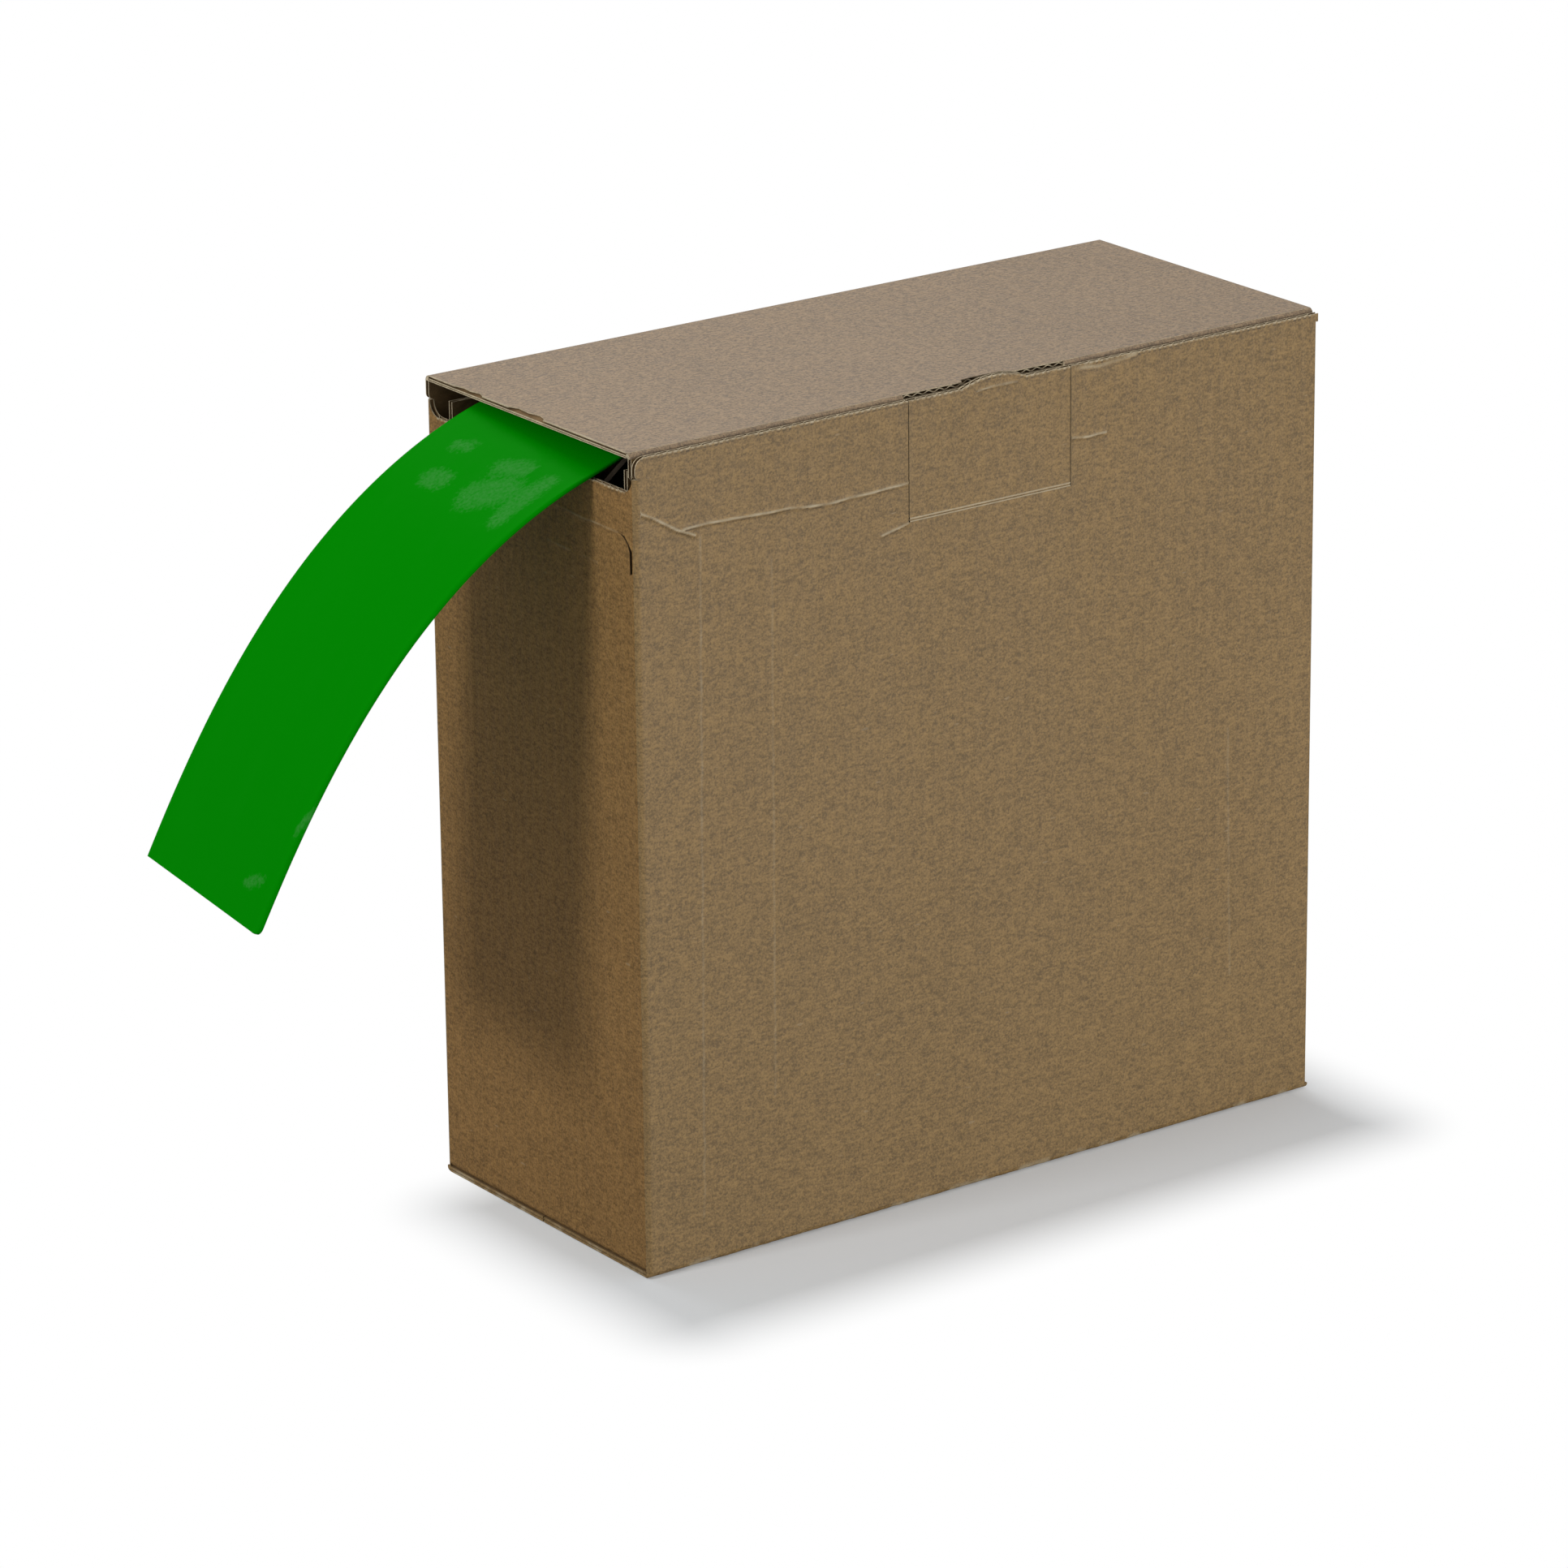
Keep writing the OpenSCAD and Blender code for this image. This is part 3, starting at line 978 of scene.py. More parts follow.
@dataclass(frozen=True)
class Fold:
    """A rounded crease where one panel turns into the next: the outer liner over crushed flutes."""

    start: Vector
    end: Vector
    spoke: Vector
    radius: float = 1.5 * MM
    bore: float = 0.12
    liner_t: float = 0.22 * MM
    angle: float = 90.0
    cells: tuple[int, int] = (60, 6)
    uneven: float = 0.0
    seed: int = 5

    def build(self, name: str, boards: Board) -> bpy.types.Object:
        """Builds the fold.

        Args:
            name: Name of the piece.
            boards: A board that gives the materials.

        Returns:
            The piece.
        """
        layers = []
        axis = (self.end - self.start).normalized()
        for radii, slot in (
            ((self.radius - self.liner_t, self.radius), LINER),
            ((self.bore * self.radius, self.radius - 1.15 * self.liner_t), INSIDE),
        ):
            piece = Bench.swept(name, (self.start, self.end), self.spoke, radii, self.angle, self.cells)
            if self.uneven:
                Bench.roughen(piece, self.uneven, self.seed)
            boards.fill_slots(piece)
            index = [EDGE if abs(p.normal.dot(axis)) > 0.9 else slot for p in piece.data.polygons]
            piece.data.polygons.foreach_set("material_index", index)
            layers.append(piece)
        piece = Bench.join(layers)
        Bench.dress(piece, (boards.liner, boards.inside, boards.edge))
        return piece


def mark_wear_and_painted_light(piece: bpy.types.Object, values: Sequence[float]) -> None:
    """Writes each vertex's pale wear and painted highlight, with painted shade where negative, as an attribute for the
    finish.
    """
    piece.data.attributes.new("wear_and_painted_light", "FLOAT", "POINT").data.foreach_set("value", values)


def settle(piece: bpy.types.Object, body: str, slot: str, *nodes: str) -> bpy.types.Object:
    """Puts a finished piece on its body in place of CAD nodes.

    Args:
        piece: The piece.
        body: The body that it moves with.
        slot: Not used.
        nodes: The CAD nodes that it stands for.

    Returns:
        The piece.
    """
    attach(piece, body)
    if nodes:
        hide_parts(*nodes)
    log.info("%s: %d faces on %s", piece.name, len(piece.data.polygons), body)
    return piece


# ---------------------------------------------------------------- the carton


@dataclass
class Carton:
    """The folded carton: walls, bottom flaps, dust flap and glue lap."""

    finishes: Finishes
    board_t: float = 1.5 * MM
    slot_corner_top: float = 214.0 * MM
    wall_corner_r: float = 3.0 * MM
    slot_corner_r: float = 4.0 * MM
    tab_left: float = -25.5 * MM
    tab_right: float = 27.1 * MM
    tab_foot: float = 187.4 * MM
    slit_w: float = 1.0 * MM
    lap_bevel: float = 4.0 * MM
    pressed_liner_t: float = 0.6 * MM
    pressed_medium_t: float = 0.26 * MM

    def build(self) -> None:
        """Builds every fixed panel of the carton."""
        self._front()
        self._back()
        self._slot_end()
        self._closed_end()
        self._flaps()

    def board(self, node: str, facing: Facing, **settings: object) -> Board:
        """A board of the carton with its materials.

        Args:
            node: The CAD node, whose name the piece takes with _board added.
            facing: The way its outer face looks.
            settings: Further fields of the board.

        Returns:
            The board, not yet built.
        """
        f = self.finishes
        # The slot end takes the liner with painted warm light; boards that face up and down take the one with a
        # painted sheen.
        by_facing = {Facing.SLOT_END: f.slot_end, Facing.CLOSED_END: f.end, Facing.UP: f.top, Facing.DOWN: f.top}
        return Board(node + "_board", node, facing, by_facing.get(facing, f.wall), f.inside, f.edge, **settings)

    def _finish(self, board: Board, folds: Sequence[Fold], slot: str = "kraft_board") -> bpy.types.Object:
        """Builds a board with its folds as one piece of the carton.

        Args:
            board: The flat part.
            folds: Folds along its sides.
            slot: Its material slot.

        Returns:
            The piece.
        """
        parts = [board.build()] + [fold.build(f"{board.name}_fold", board) for fold in folds]
        piece = Bench.join(parts)
        Bench.take(piece)
        bpy.ops.object.shade_smooth_by_angle(angle=SHADE_ANGLE)
        return settle(piece, "carton", slot, board.node)

    def _upright_folds(self, node: str, back: bool) -> list[Fold]:
        """The two upright folds of a broad wall, up to the slot and to the dust flap.

        Args:
            node: The wall's CAD node.
            back: Whether it is the back wall.

        Returns:
            The folds.
        """
        low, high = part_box(node)
        dust_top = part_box("closed_end_wall")[1].z
        y = low.y if back else high.y
        outward = Vector((0.0, 1.0 if back else -1.0, 0.0))
        folds = []
        sides = ((low.x + self.board_t, -1.0, self.slot_corner_top), (high.x - self.board_t, 1.0, dust_top))
        for x, side, top in sides:
            turns_right = (side > 0) != back
            spoke = outward if turns_right else Vector((side, 0.0, 0.0))
            folds.append(Fold(Vector((x, y, low.z)), Vector((x, y, top)), spoke))
        return folds

    def _foot_round(self, x: float, side: float) -> list[Point2]:
        """The corner cut off where a broad wall's raw edge meets its upright fold.

        Args:
            x: The wall's edge at the slot, in the board's own direction.
            side: 1 if the board ends to the right there, and -1 if to the left.

        Returns:
            Outline of the cut.
        """
        r, foot = self.board_t, self.slot_corner_top
        arc = [(x - side * r * (1 - math.sin(a)), foot + r * (1 - math.cos(a))) for a in QUARTER]
        beyond, below = x + side * MM, foot - EDGE_INSET
        outline = [*arc, (beyond, foot + r), (beyond, below), (x - side * r, below)]
        return outline if side < 0 else outline[::-1]

    def _front(self) -> None:
        """The front wall with the tab's window, the pressed lines and its rounded raw corner."""
        low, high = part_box("front_wall")
        dust_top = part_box("closed_end_wall")[1].z
        r = self.wall_corner_r
        corner = [(low.x + r - r * math.sin(a), high.z - r + r * math.cos(a)) for a in QUARTER]
        head = high.z - EDGE_INSET
        marks = [
            pressed(0.30, 0.95, 1.0, -109.0, 205.6, -103.2, 202.4, -98.0, 199.3, -92.3, 196.7),
            pressed(0.22, 0.9, 1.0, -96.0, 198.9, -88.0, 199.2, -78.5, 198.6, -66.0, 198.3),
            pressed(0.16, 0.9, 1.0, -66.0, 198.3, -52.0, 197.3, -40.0, 197.6, -25.8, 197.8),
            pressed(0.18, 0.9, 1.0, 27.5, 200.2, 33.0, 199.8, 38.6, 199.9),
            pressed(0.06, 1.0, 0.28, -90.6, 195.8, -92.4, 13.2),
            pressed(0.05, 1.0, 0.2, -68.6, 185.9, -69.5, 41.1),
            pressed(0.05, 1.0, 0.2, 80.5, 110.0, 82.0, 39.6),
            pressed(0.12, 0.9, 1.0, -34.0, 185.6, -25.6, 187.3),
            pressed(-0.15, 1.6, 0.7, 28.6, 218.6, 36.0, 218.0, 48.4, 219.2),
            raw_edge((-108.0 * MM, head), (self.tab_left, head)),
            raw_edge((self.tab_right, head), (108.5 * MM, head)),
        ]
        board = self.board(
            "front_wall", Facing.FRONT, cells=(110, 110), embossing=marks,
            cuts=[
                rectangle(low.x - MM, low.z - MM, low.x + self.board_t, self.slot_corner_top),
                rectangle(high.x - self.board_t, low.z - MM, high.x + MM, dust_top),
                rectangle(self.tab_left, self.tab_foot, self.tab_right, high.z + MM),
                [(low.x - MM, high.z + MM), (low.x - MM, high.z - r), *reversed(corner), (low.x + r, high.z + MM)],
                self._foot_round(low.x, -1.0),
            ],
        )
        self._finish(board, self._upright_folds("front_wall", False))

    def _back(self) -> None:
        """The plain back wall."""
        low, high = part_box("back_wall")
        dust_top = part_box("closed_end_wall")[1].z
        board = self.board(
            "back_wall", Facing.BACK, cells=(60, 60),
            cuts=[
                rectangle(-low.x - self.board_t, low.z - MM, -low.x + MM, self.slot_corner_top),
                rectangle(-high.x - MM, low.z - MM, -high.x + self.board_t, dust_top),
                self._foot_round(-low.x, 1.0),
            ],
        )
        self._finish(board, self._upright_folds("back_wall", True))

    def _slot_end(self) -> None:
        """The slot end wall with its lip, the rounded corners of the slot, the slit and faint creases."""
        low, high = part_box("slot_end_wall")
        r = self.slot_corner_r
        lip = high.z - r - EDGE_INSET
        notch = [(low.y + r - r * math.cos(a), high.z - r * math.sin(a)) for a in QUARTER]
        other = [(-u, v) for u, v in reversed(notch)]
        mouth = [*notch, *other, (-low.y + MM, high.z + MM), (low.y - MM, high.z + MM)]
        far = 44.1 * MM + self.slit_w
        slit = [
            *mm_points(39.6, 198.9, 41.6, 198.0, 43.2, 196.6, 44.0, 194.8, 44.1, 189.0),
            (far, 189.4 * MM), (far, 195.0 * MM), *mm_points(43.5, 197.1, 41.8, 198.6),
        ]
        marks = [
            pressed(0.16, 0.8, 0.35, 12.0, 199.6, 24.0, 199.0, 39.2, 199.0),
            pressed(0.12, 0.8, 0.3, 8.0, 189.6, 18.0, 189.0),
            pressed(0.12, 0.8, 0.3, 24.0, 189.3, 30.0, 188.8),
            raw_edge((-42.0 * MM, lip), (42.0 * MM, lip)),
        ]
        board = self.board(
            "slot_end_wall", Facing.SLOT_END, cells=(47, 104), embossing=marks, cuts=[mouth], slits=[slit],
        )
        self._finish(board, [])

    def _closed_end(self) -> None:
        """The closed end wall."""
        self._finish(self.board("closed_end_wall", Facing.CLOSED_END, cells=(40, 60)), [])

    def _flaps(self) -> None:
        """The bottom flaps and the dust flap, each with the fold it hangs on, and the glue lap."""
        t, f = self.board_t, self.finishes
        down = Vector((0.0, 0.0, -1.0))
        pressed_board = {"recess": EDGE_INSET, "liner_t": self.pressed_liner_t, "medium_t": self.pressed_medium_t}
        for node, back in (("front_bottom_flap", False), ("back_bottom_flap", True)):
            low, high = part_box(node)
            y = high.y - t if back else low.y + t
            margins = (0.0, t, 0.0, 0.0) if back else (0.0, 0.0, 0.0, t)
            board = self.board(node, Facing.DOWN, cells=(60, 14), margins=margins, **pressed_board)
            board.liner = board.edge = f.wall
            ends = (Vector((x, y, high.z)) for x in (low.x, high.x))
            spoke = down if back else Vector((0.0, -1.0, 0.0))
            self._finish(board, [Fold(*ends, spoke, cells=(150, 5), uneven=0.10 * MM)])
        for node, slot_side in (("slot_end_bottom_flap", True), ("closed_end_bottom_flap", False)):
            low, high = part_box(node)
            x = low.x + t if slot_side else high.x - t
            margins = (t, 0.0, 0.0, 0.0) if slot_side else (0.0, 0.0, t, 0.0)
            board = self.board(node, Facing.DOWN, cells=(16, 20), margins=margins)
            # the slot side's flap takes the liner with painted warm light
            board.liner = f.slot_end if slot_side else f.end
            ends = (Vector((x, y, high.z)) for y in (low.y, high.y))
            spoke = down if slot_side else Vector((1.0, 0.0, 0.0))
            self._finish(board, [Fold(*ends, spoke, cells=(70, 5), uneven=0.08 * MM)])
        low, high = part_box("closed_end_dust_flap")
        x = high.x - t
        ends = [Vector((x, low.y, low.z)), Vector((x, high.y, low.z))]
        board = self.board("closed_end_dust_flap", Facing.UP, cells=(20, 30), margins=(0.0, 0.0, t, 0.0))
        self._finish(board, [Fold(*ends, Vector((0.0, 0.0, 1.0)))], "kraft_inner_board")
        low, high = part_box("glue_lap")
        foot, head, past = low.z + self.lap_bevel, high.z - self.lap_bevel, high.x + MM
        cuts = [
            [(high.x - self.lap_bevel, low.z - MM), (past, low.z - MM), (past, foot), (high.x, foot), (low.x, low.z)],
            [(low.x, high.z), (high.x, head), (past, head), (past, high.z + MM), (low.x, high.z + MM)],
        ]
        self._finish(self.board("glue_lap", Facing.FRONT, cuts=cuts), [], "kraft_inner_board")


# ---------------------------------------------------------------- lid, tuck flap and lock tab


@dataclass
class Lid:
    """The lid, its creases, the tuck flap and the lock tab."""

    finishes: Finishes
    carton: Carton
    notch: tuple[float, float] = (-25.2 * MM, 26.8 * MM)
    notch_depth: float = 1.0 * MM
    thumb: tuple[float, float] = (-5.15 * MM, 9.55 * MM)
    thumb_depth: float = 3.0 * MM
    tuck_corner: float = 15.0 * MM
    crease_cut: float = 5.0 * MM
    tab_head: float = 219.6 * MM
    tab_crease: float = 0.9 * MM
    hump: tuple[float, float] = (-8.25 * MM, 12.65 * MM)
    hump_peak: float = 2.2 * MM
    hump_steps: int = 12
    ridge: float = 0.16 * MM
    ridge_inset: float = 0.25 * MM
    ridge_rub: float = 0.30 * MM
    groove: float = 0.12 * MM

    def build(self) -> None:
        """Builds the lid and what hinges on it."""
        self._lid()
        self._tuck()
        self._tab()
        self._creases()

    def _lid(self) -> None:
        """The lid panel with the cut behind the tab and the torn places on its slot edge."""
        t = self.carton.board_t
        low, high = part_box("lid")
        front = low.y
        (left, right), (thumb_left, thumb_right) = self.notch, self.thumb
        shallow, deep = self.notch_depth, self.thumb_depth
        torn = (
            (left, 0.0, shallow, 0.75), (left, 8.0, shallow, 1.05), (left, 15.0, shallow, 0.9),
            (thumb_left, -0.8, shallow, 1.0), (thumb_left, 0.0, deep, 0.9), (thumb_left, 4.0, deep, 1.05),
            (thumb_left, 9.0, deep, 1.0), (thumb_right, -1.5, deep, 0.95), (thumb_right, 1.2, shallow, 1.0),
            (right, -8.0, shallow, 1.1), (right, 0.0, shallow, 0.95),
        )
        wave = [(u + along * MM, front + depth * share) for u, along, depth, share in torn]
        cut = [(right, front - MM), *reversed(wave), (left, front - MM)]
        x = low.x
        rim_x = x + EDGE_INSET
        rim = Emboss(((rim_x, low.y + 2 * MM), (rim_x, high.y - 2 * MM)), 0.0, 0.8 * MM, 0.8, 0.0, 0.0)
        tears = [
            [(x + u, v) for u, v in mm_points(*numbers)] for numbers in (
                (-1.0, 20.2, 0.5, 21.2, 1.3, 23.6, 0.55, 27.0, 0.9, 30.2, 0.35, 33.0, -1.0, 34.2),
                (-1.0, -7.2, 0.8, -6.4, 1.9, -3.0, 1.1, 1.4, 1.5, 6.2, 0.5, 8.7, -1.0, 9.6),
            )
        ]
        board = self.carton.board(
            "lid", Facing.UP, cells=(110, 45), margins=(0.0, shallow, 0.0, t), embossing=[rim],
            medium_t=0.32 * MM, recess=EDGE_INSET, cuts=[cut], liner_cuts=tears,
        )
        settle(board.build(), "lid", "kraft_board", "lid")

    def _tuck(self) -> None:
        """The tuck flap with slanted corners and the cut in its crease."""
        low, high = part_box("lid_tuck_flap")
        corner, under = self.carton.slot_corner_top, low.z - MM
        left, right = low.x + self.tuck_corner, high.x - self.tuck_corner
        cuts = [
            [(low.x - MM, under), (left, under), (left, low.z), (low.x, corner), (low.x - MM, corner)],
            [(high.x + MM, corner), (high.x, corner), (right, low.z), (right, under), (high.x + MM, under)],
            rectangle(self.notch[0], high.z - self.crease_cut, self.notch[1], high.z + MM),
        ]
        board = self.carton.board("lid_tuck_flap", Facing.FRONT, cells=(40, 8), cuts=cuts)
        settle(board.build(), "tuck", "kraft_board", "lid_tuck_flap")

    def _tab(self) -> None:
        """The lock tab with its thumb hump."""
        low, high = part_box("lock_tab")
        left, right = self.hump
        straight = self.tab_head
        rise = high.z - straight
        r = ((right - left) ** 2 / 4 + rise * rise) / (2 * rise)
        spots = [left + (right - left) * k / self.hump_steps for k in range(self.hump_steps + 1)]
        hump = [(u, high.z - r + math.sqrt(r * r - (u - self.hump_peak) ** 2)) for u in spots]
        above = high.z + MM
        outline = [(low.x - MM, straight), *hump, (high.x + MM, straight), (high.x + MM, above), (low.x - MM, above)]
        rim = straight - EDGE_INSET
        marks = [
            pressed(0.12, 0.6, 1.0, -3.4, 218.2, 2.0, 218.8, 9.4, 218.6),
            raw_edge(*((u, v - EDGE_INSET) for u, v in hump)),
            raw_edge((low.x, rim), (left, rim)),
            raw_edge((right, rim), (high.x, rim)),
        ]
        board = self.carton.board(
            "lock_tab", Facing.FRONT, cells=(26, 16), cuts=[outline], embossing=marks,
            margins=(0.0, self.tab_crease, 0.0, 0.0),
        )
        settle(board.build(), "tab", "kraft_board", "lock_tab")

    def _creases(self) -> None:
        """The creases at the lid's back and front edges and at the foot of the lock tab."""
        t = self.carton.board_t
        low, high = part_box("lid")
        board = self.carton.board("lid", Facing.UP)
        back = high.y - t
        fold = Fold(Vector((low.x, back, low.z)), Vector((high.x, back, low.z)), Vector((0.0, 1.0, 0.0)))
        piece = fold.build("lid_back_crease", board)
        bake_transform(piece)
        front = low.y + t
        for name, x0, x1 in (("slot_side", low.x, self.notch[0]), ("closed_side", self.notch[1], high.x)):
            fold = Fold(Vector((x0, front, low.z)), Vector((x1, front, low.z)), Vector((0.0, 0.0, 1.0)))
            piece = fold.build("lid_front_crease_" + name, board)
            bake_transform(piece)
        self._tab_crease()

    def _tab_crease(self) -> None:
        """The creased strip at the foot of the lock tab, with two pressed ridges."""
        low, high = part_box("lock_tab")
        foot, head = self.carton.tab_foot, low.z + self.tab_crease
        piece = Bench.sheet("lock_tab_crease", (low.x, foot), (high.x, head), -low.y, (40, 12))
        ridges = (foot + self.ridge_inset, head - self.ridge_inset)
        for level in ridges:
            Bench.shift(piece, lambda co: abs(co.y - level) < self.ridge, (0.0, 0.0, self.ridge))
        middle = (foot + head) / 2
        Bench.shift(piece, lambda co: abs(co.y - middle) < self.groove, (0.0, 0.0, -self.groove))
        gaps = [min(abs(v.co.y - level) for level in ridges) for v in piece.data.vertices]
        mark_wear_and_painted_light(piece, [min(0.85, 1.5 * max(0.0, 1.0 - gap / self.ridge_rub)) for gap in gaps])
        Bench.apply(piece, "SOLIDIFY", thickness=0.8 * MM, offset=-1.0)
        Bench.turn_flat(piece, (RIGHT_ANGLE, 0.0, 0.0))
        Bench.dress(piece, (self.finishes.wall,), math.radians(60.0))
        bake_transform(piece)


# ---------------------------------------------------------------- cradle and reel


@dataclass
class Cradle:
    """The folded board cradle that carries the axle."""

    carton: Carton
    hole_r: float = 12.75 * MM
    hole_points: int = 48

    def build(self) -> None:
        """Builds the floor and the two sides."""
        centre = (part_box("axle_tube")[0].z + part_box("axle_tube")[1].z) / 2
        turns = [2.0 * math.pi * k / self.hole_points for k in range(self.hole_points)]
        hole = [(self.hole_r * math.cos(a), centre + self.hole_r * math.sin(a)) for a in turns]
        for node, facing in (("cradle_front_side", Facing.FRONT), ("cradle_back_side", Facing.BACK)):
            board = self.carton.board(node, facing, cells=(30, 30), cuts=[hole])
            board.liner = self.carton.finishes.wall
            settle(board.build(), "carton", "kraft_inner_board", node)
        board = self.carton.board("cradle_floor", Facing.UP, cells=(20, 10))
        settle(board.build(), "carton", "kraft_inner_board", "cradle_floor")


@dataclass
class Reel:
    """The reel: board flanges, paper core and axle, and the wound flat tube."""

    finishes: Finishes
    turn_t: float = 1.2 * MM
    turn_gap: float = 0.06 * MM
    edge_round: float = 0.4 * MM
    steps: int = 96

    def build(self) -> None:
        """Dresses the carried-over pieces and winds the tube."""
        for node, material in (
            ("reel_front_flange", self.finishes.greyboard), ("reel_back_flange", self.finishes.greyboard),
            ("reel_core", self.finishes.paper), ("axle_tube", self.finishes.paper),
        ):
            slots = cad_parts[node].data.materials
            slots.clear()
            slots.append(material)
        self._windings()

    def _windings(self) -> None:
        """Spins the turns of flat tube about the reel's axis."""
        low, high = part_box("wound_tube")
        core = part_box("reel_core")[1].x
        outer = high.x
        axle_z = (low.z + high.z) / 2
        count = int((outer - core) / self.turn_t)
        piece = Bench.sheet("wound_tube_turns", (outer - self.turn_t + self.turn_gap, low.y), (outer, high.y), axle_z)
        with Bench.editing(piece):
            bpy.ops.mesh.select_mode(type="VERT")
            bpy.ops.mesh.select_all(action="SELECT")
            bpy.ops.mesh.bevel(offset=self.edge_round, segments=2, affect="VERTICES")
        Bench.apply(
            piece, "ARRAY", count=count, use_relative_offset=False, use_constant_offset=True,
            constant_offset_displace=(-self.turn_t, 0.0, 0.0),
        )
        with Bench.editing(piece):
            bpy.ops.mesh.delete(type="ONLY_FACE")
            bpy.ops.mesh.select_all(action="SELECT")
            bpy.ops.mesh.spin(steps=self.steps, angle=2.0 * math.pi, center=(0.0, 0.0, axle_z), axis=(0.0, 1.0, 0.0))
        Bench.outward(piece)
        Bench.dress(piece, (self.finishes.green,), math.radians(40.0))
        settle(piece, "reel", "green_tube", "wound_tube")


@dataclass
class TubeLead:
    """The end of the flat tube, from the reel over the lip to its cut end."""

    finishes: Finishes
    width: float = 56.0 * MM
    edge_t: float = 1.2 * MM
    middle_t: float = 0.98 * MM
    cavity: float = 0.12 * MM
    bead: float = 2.6 * MM
    slot_h: float = 9.0 * MM
    lip_gap: float = 0.5 * MM
    lid_gap: float = 0.7 * MM
    hanging: float = 145.7 * MM
    lip_slope: float = math.radians(19.4)
    lip_bend_r: float = 105.0 * MM
    tip_bend_r: float = 630.0 * MM
    yaw: float = math.radians(2.0)
    tilt: float = math.radians(5.3)
    untwist: float = 24.0 * MM
    wrap: float = math.radians(20.0)
    side: float = -0.7 * MM
    winding_gap: float = 0.3 * MM
    corner_r: float = 2.2 * MM
    across: int = 30
    edge_steps: int = 4
    dent: float = 0.12 * MM
    calm_near_lip: float = 4 * MM
    wrap_steps: int = 8
    span_steps: int = 14
    bend_steps: int = 12
    fine_steps: int = 600
    hang_steps: int = 60
    tip_steps: tuple[int, ...] = (1, 2, 4, 6, 8)
    # Painted highlights as flat lines, in millimetres out from the lip and across the tube: patches near the lip, a
    # line along the near folded edge and spots further out.
    highlight_strength: float = 1.8
    painted_highlights: tuple[Emboss, ...] = (
        pressed(0.0, 3.0, 1.0, 10.5, 12.5, 11.5, 17), pressed(0.0, 4.5, 1.0, 21, 9, 22, 14),
        pressed(0.0, 7.0, 1.0, 16, -12, 21, -4), pressed(0.0, 4.5, 1.0, 8.5, -10, 11.5, -3),
        pressed(0.0, 4.4, 1.0, 9, -20.4, 23, -18.6), pressed(0.0, 1.1, 1.0, 58, -25, 100, -25),
        pressed(0.0, 1.5, 1.0, 80, -20, 83, -16), pressed(0.0, 1.0, 1.0, 90, -10, 91, -3),
    )

    def build(self) -> None:
        """Builds the tube's skin and its flat inside, and closes its two ends."""
        stations = self._stations()
        skins = [self._skin("tube_lead_skin", stations, 1.0), self._skin("tube_lead_bore", stations, 0.0)]
        piece = Bench.join(skins)
        piece.name = piece.data.name = "tube_lead_strip"
        lip_x = self._lip().x
        Bench.bridge_rims(piece, lambda co: co.x < lip_x)
        Bench.bridge_rims(piece, lambda co: co.x > lip_x)
        Bench.outward(piece)
        # painted highlights, written as the vertex attribute for the green finish
        mark_wear_and_painted_light(piece, [self._painted_highlight(lip_x - v.co.x, v.co.y) for v in piece.data.vertices])
        Bench.dress(piece, (self.finishes.green,), math.radians(50.0))
        settle(piece, "lead", "green_tube", "tube_lead")

    def _painted_highlight(self, out: float, across: float) -> float:
        """Works out how strong the painted highlight is at a place on the tube.

        Args:
            out: Distance out from the lip.
            across: Place across the tube.

        Returns:
            The amount, 0 to 1.
        """
        place = Vector((out, across, 0.0))
        share = max(1.0 - line.distance(place) / line.width for line in self.painted_highlights)
        return max(0.0, min(1.0, self.highlight_strength * share))

    def _slope(self, s: float) -> float:
        """Slope of the hanging tube below horizontal at a distance from the lip."""
        easing = 1 / self.tip_bend_r - 1 / self.lip_bend_r
        return self.lip_slope + s / self.lip_bend_r + s * s / (2 * self.hanging) * easing

    def _lip(self) -> Vector:
        """Finds the middle of the tube where it passes the lip.

        Returns:
            The middle.
        """
        end_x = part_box("slot_end_wall")[0].x
        lip_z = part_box("lid")[0].z - self.slot_h
        half = self.width / 2
        height = lip_z + self.lip_gap + self.edge_t / 2 + math.sin(self.tilt) * half
        return Vector((end_x + math.sin(self.yaw) * half, self.side, height))

    def _stations(self) -> list[Station]:
        """The tube's middle line.

        Returns:
            Stations from the reel to the tip: x, z, slope, and the distance left to the tip.
        """
        lip = self._lip()
        low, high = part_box("wound_tube")
        reel = Vector((0.0, (low.z + high.z) / 2))
        reel_r = high.x + self.winding_gap + self.edge_t / 2
        bend_r = (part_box("lid")[0].z - self.lid_gap - self.edge_t / 2 - lip.z) / (1 - math.cos(self.lip_slope))
        bend = Vector((lip.x, lip.z)) + bend_r * Vector((math.sin(self.lip_slope), -math.cos(self.lip_slope)))
        line = bend - reel
        rise = math.atan2(line.y, -line.x) + math.asin((bend_r - reel_r) / line.length)
        out = []
        for k in range(self.wrap_steps):
            slope = -rise - self.wrap * (1 - k / self.wrap_steps)
            out.append((reel.x - reel_r * math.sin(slope), reel.y + reel_r * math.cos(slope), slope, 1.0))
        normal = Vector((math.sin(rise), math.cos(rise)))
        start, end = reel + reel_r * normal, bend + bend_r * normal
        for k in range(self.span_steps):
            place = start.lerp(end, k / self.span_steps)
            out.append((place.x, place.y, -rise, 1.0))
        for k in range(self.bend_steps):
            slope = -rise + (self.lip_slope + rise) * k / self.bend_steps
            out.append((bend.x - bend_r * math.sin(slope), bend.y + bend_r * math.cos(slope), slope, 1.0))
        steps = self.fine_steps
        ds = self.hanging / steps
        wanted = {round(steps * k / self.hang_steps) for k in range(self.hang_steps + 1)}
        wanted |= {steps - n for n in self.tip_steps}
        place = Vector((lip.x, lip.z))
        for k in range(steps + 1):
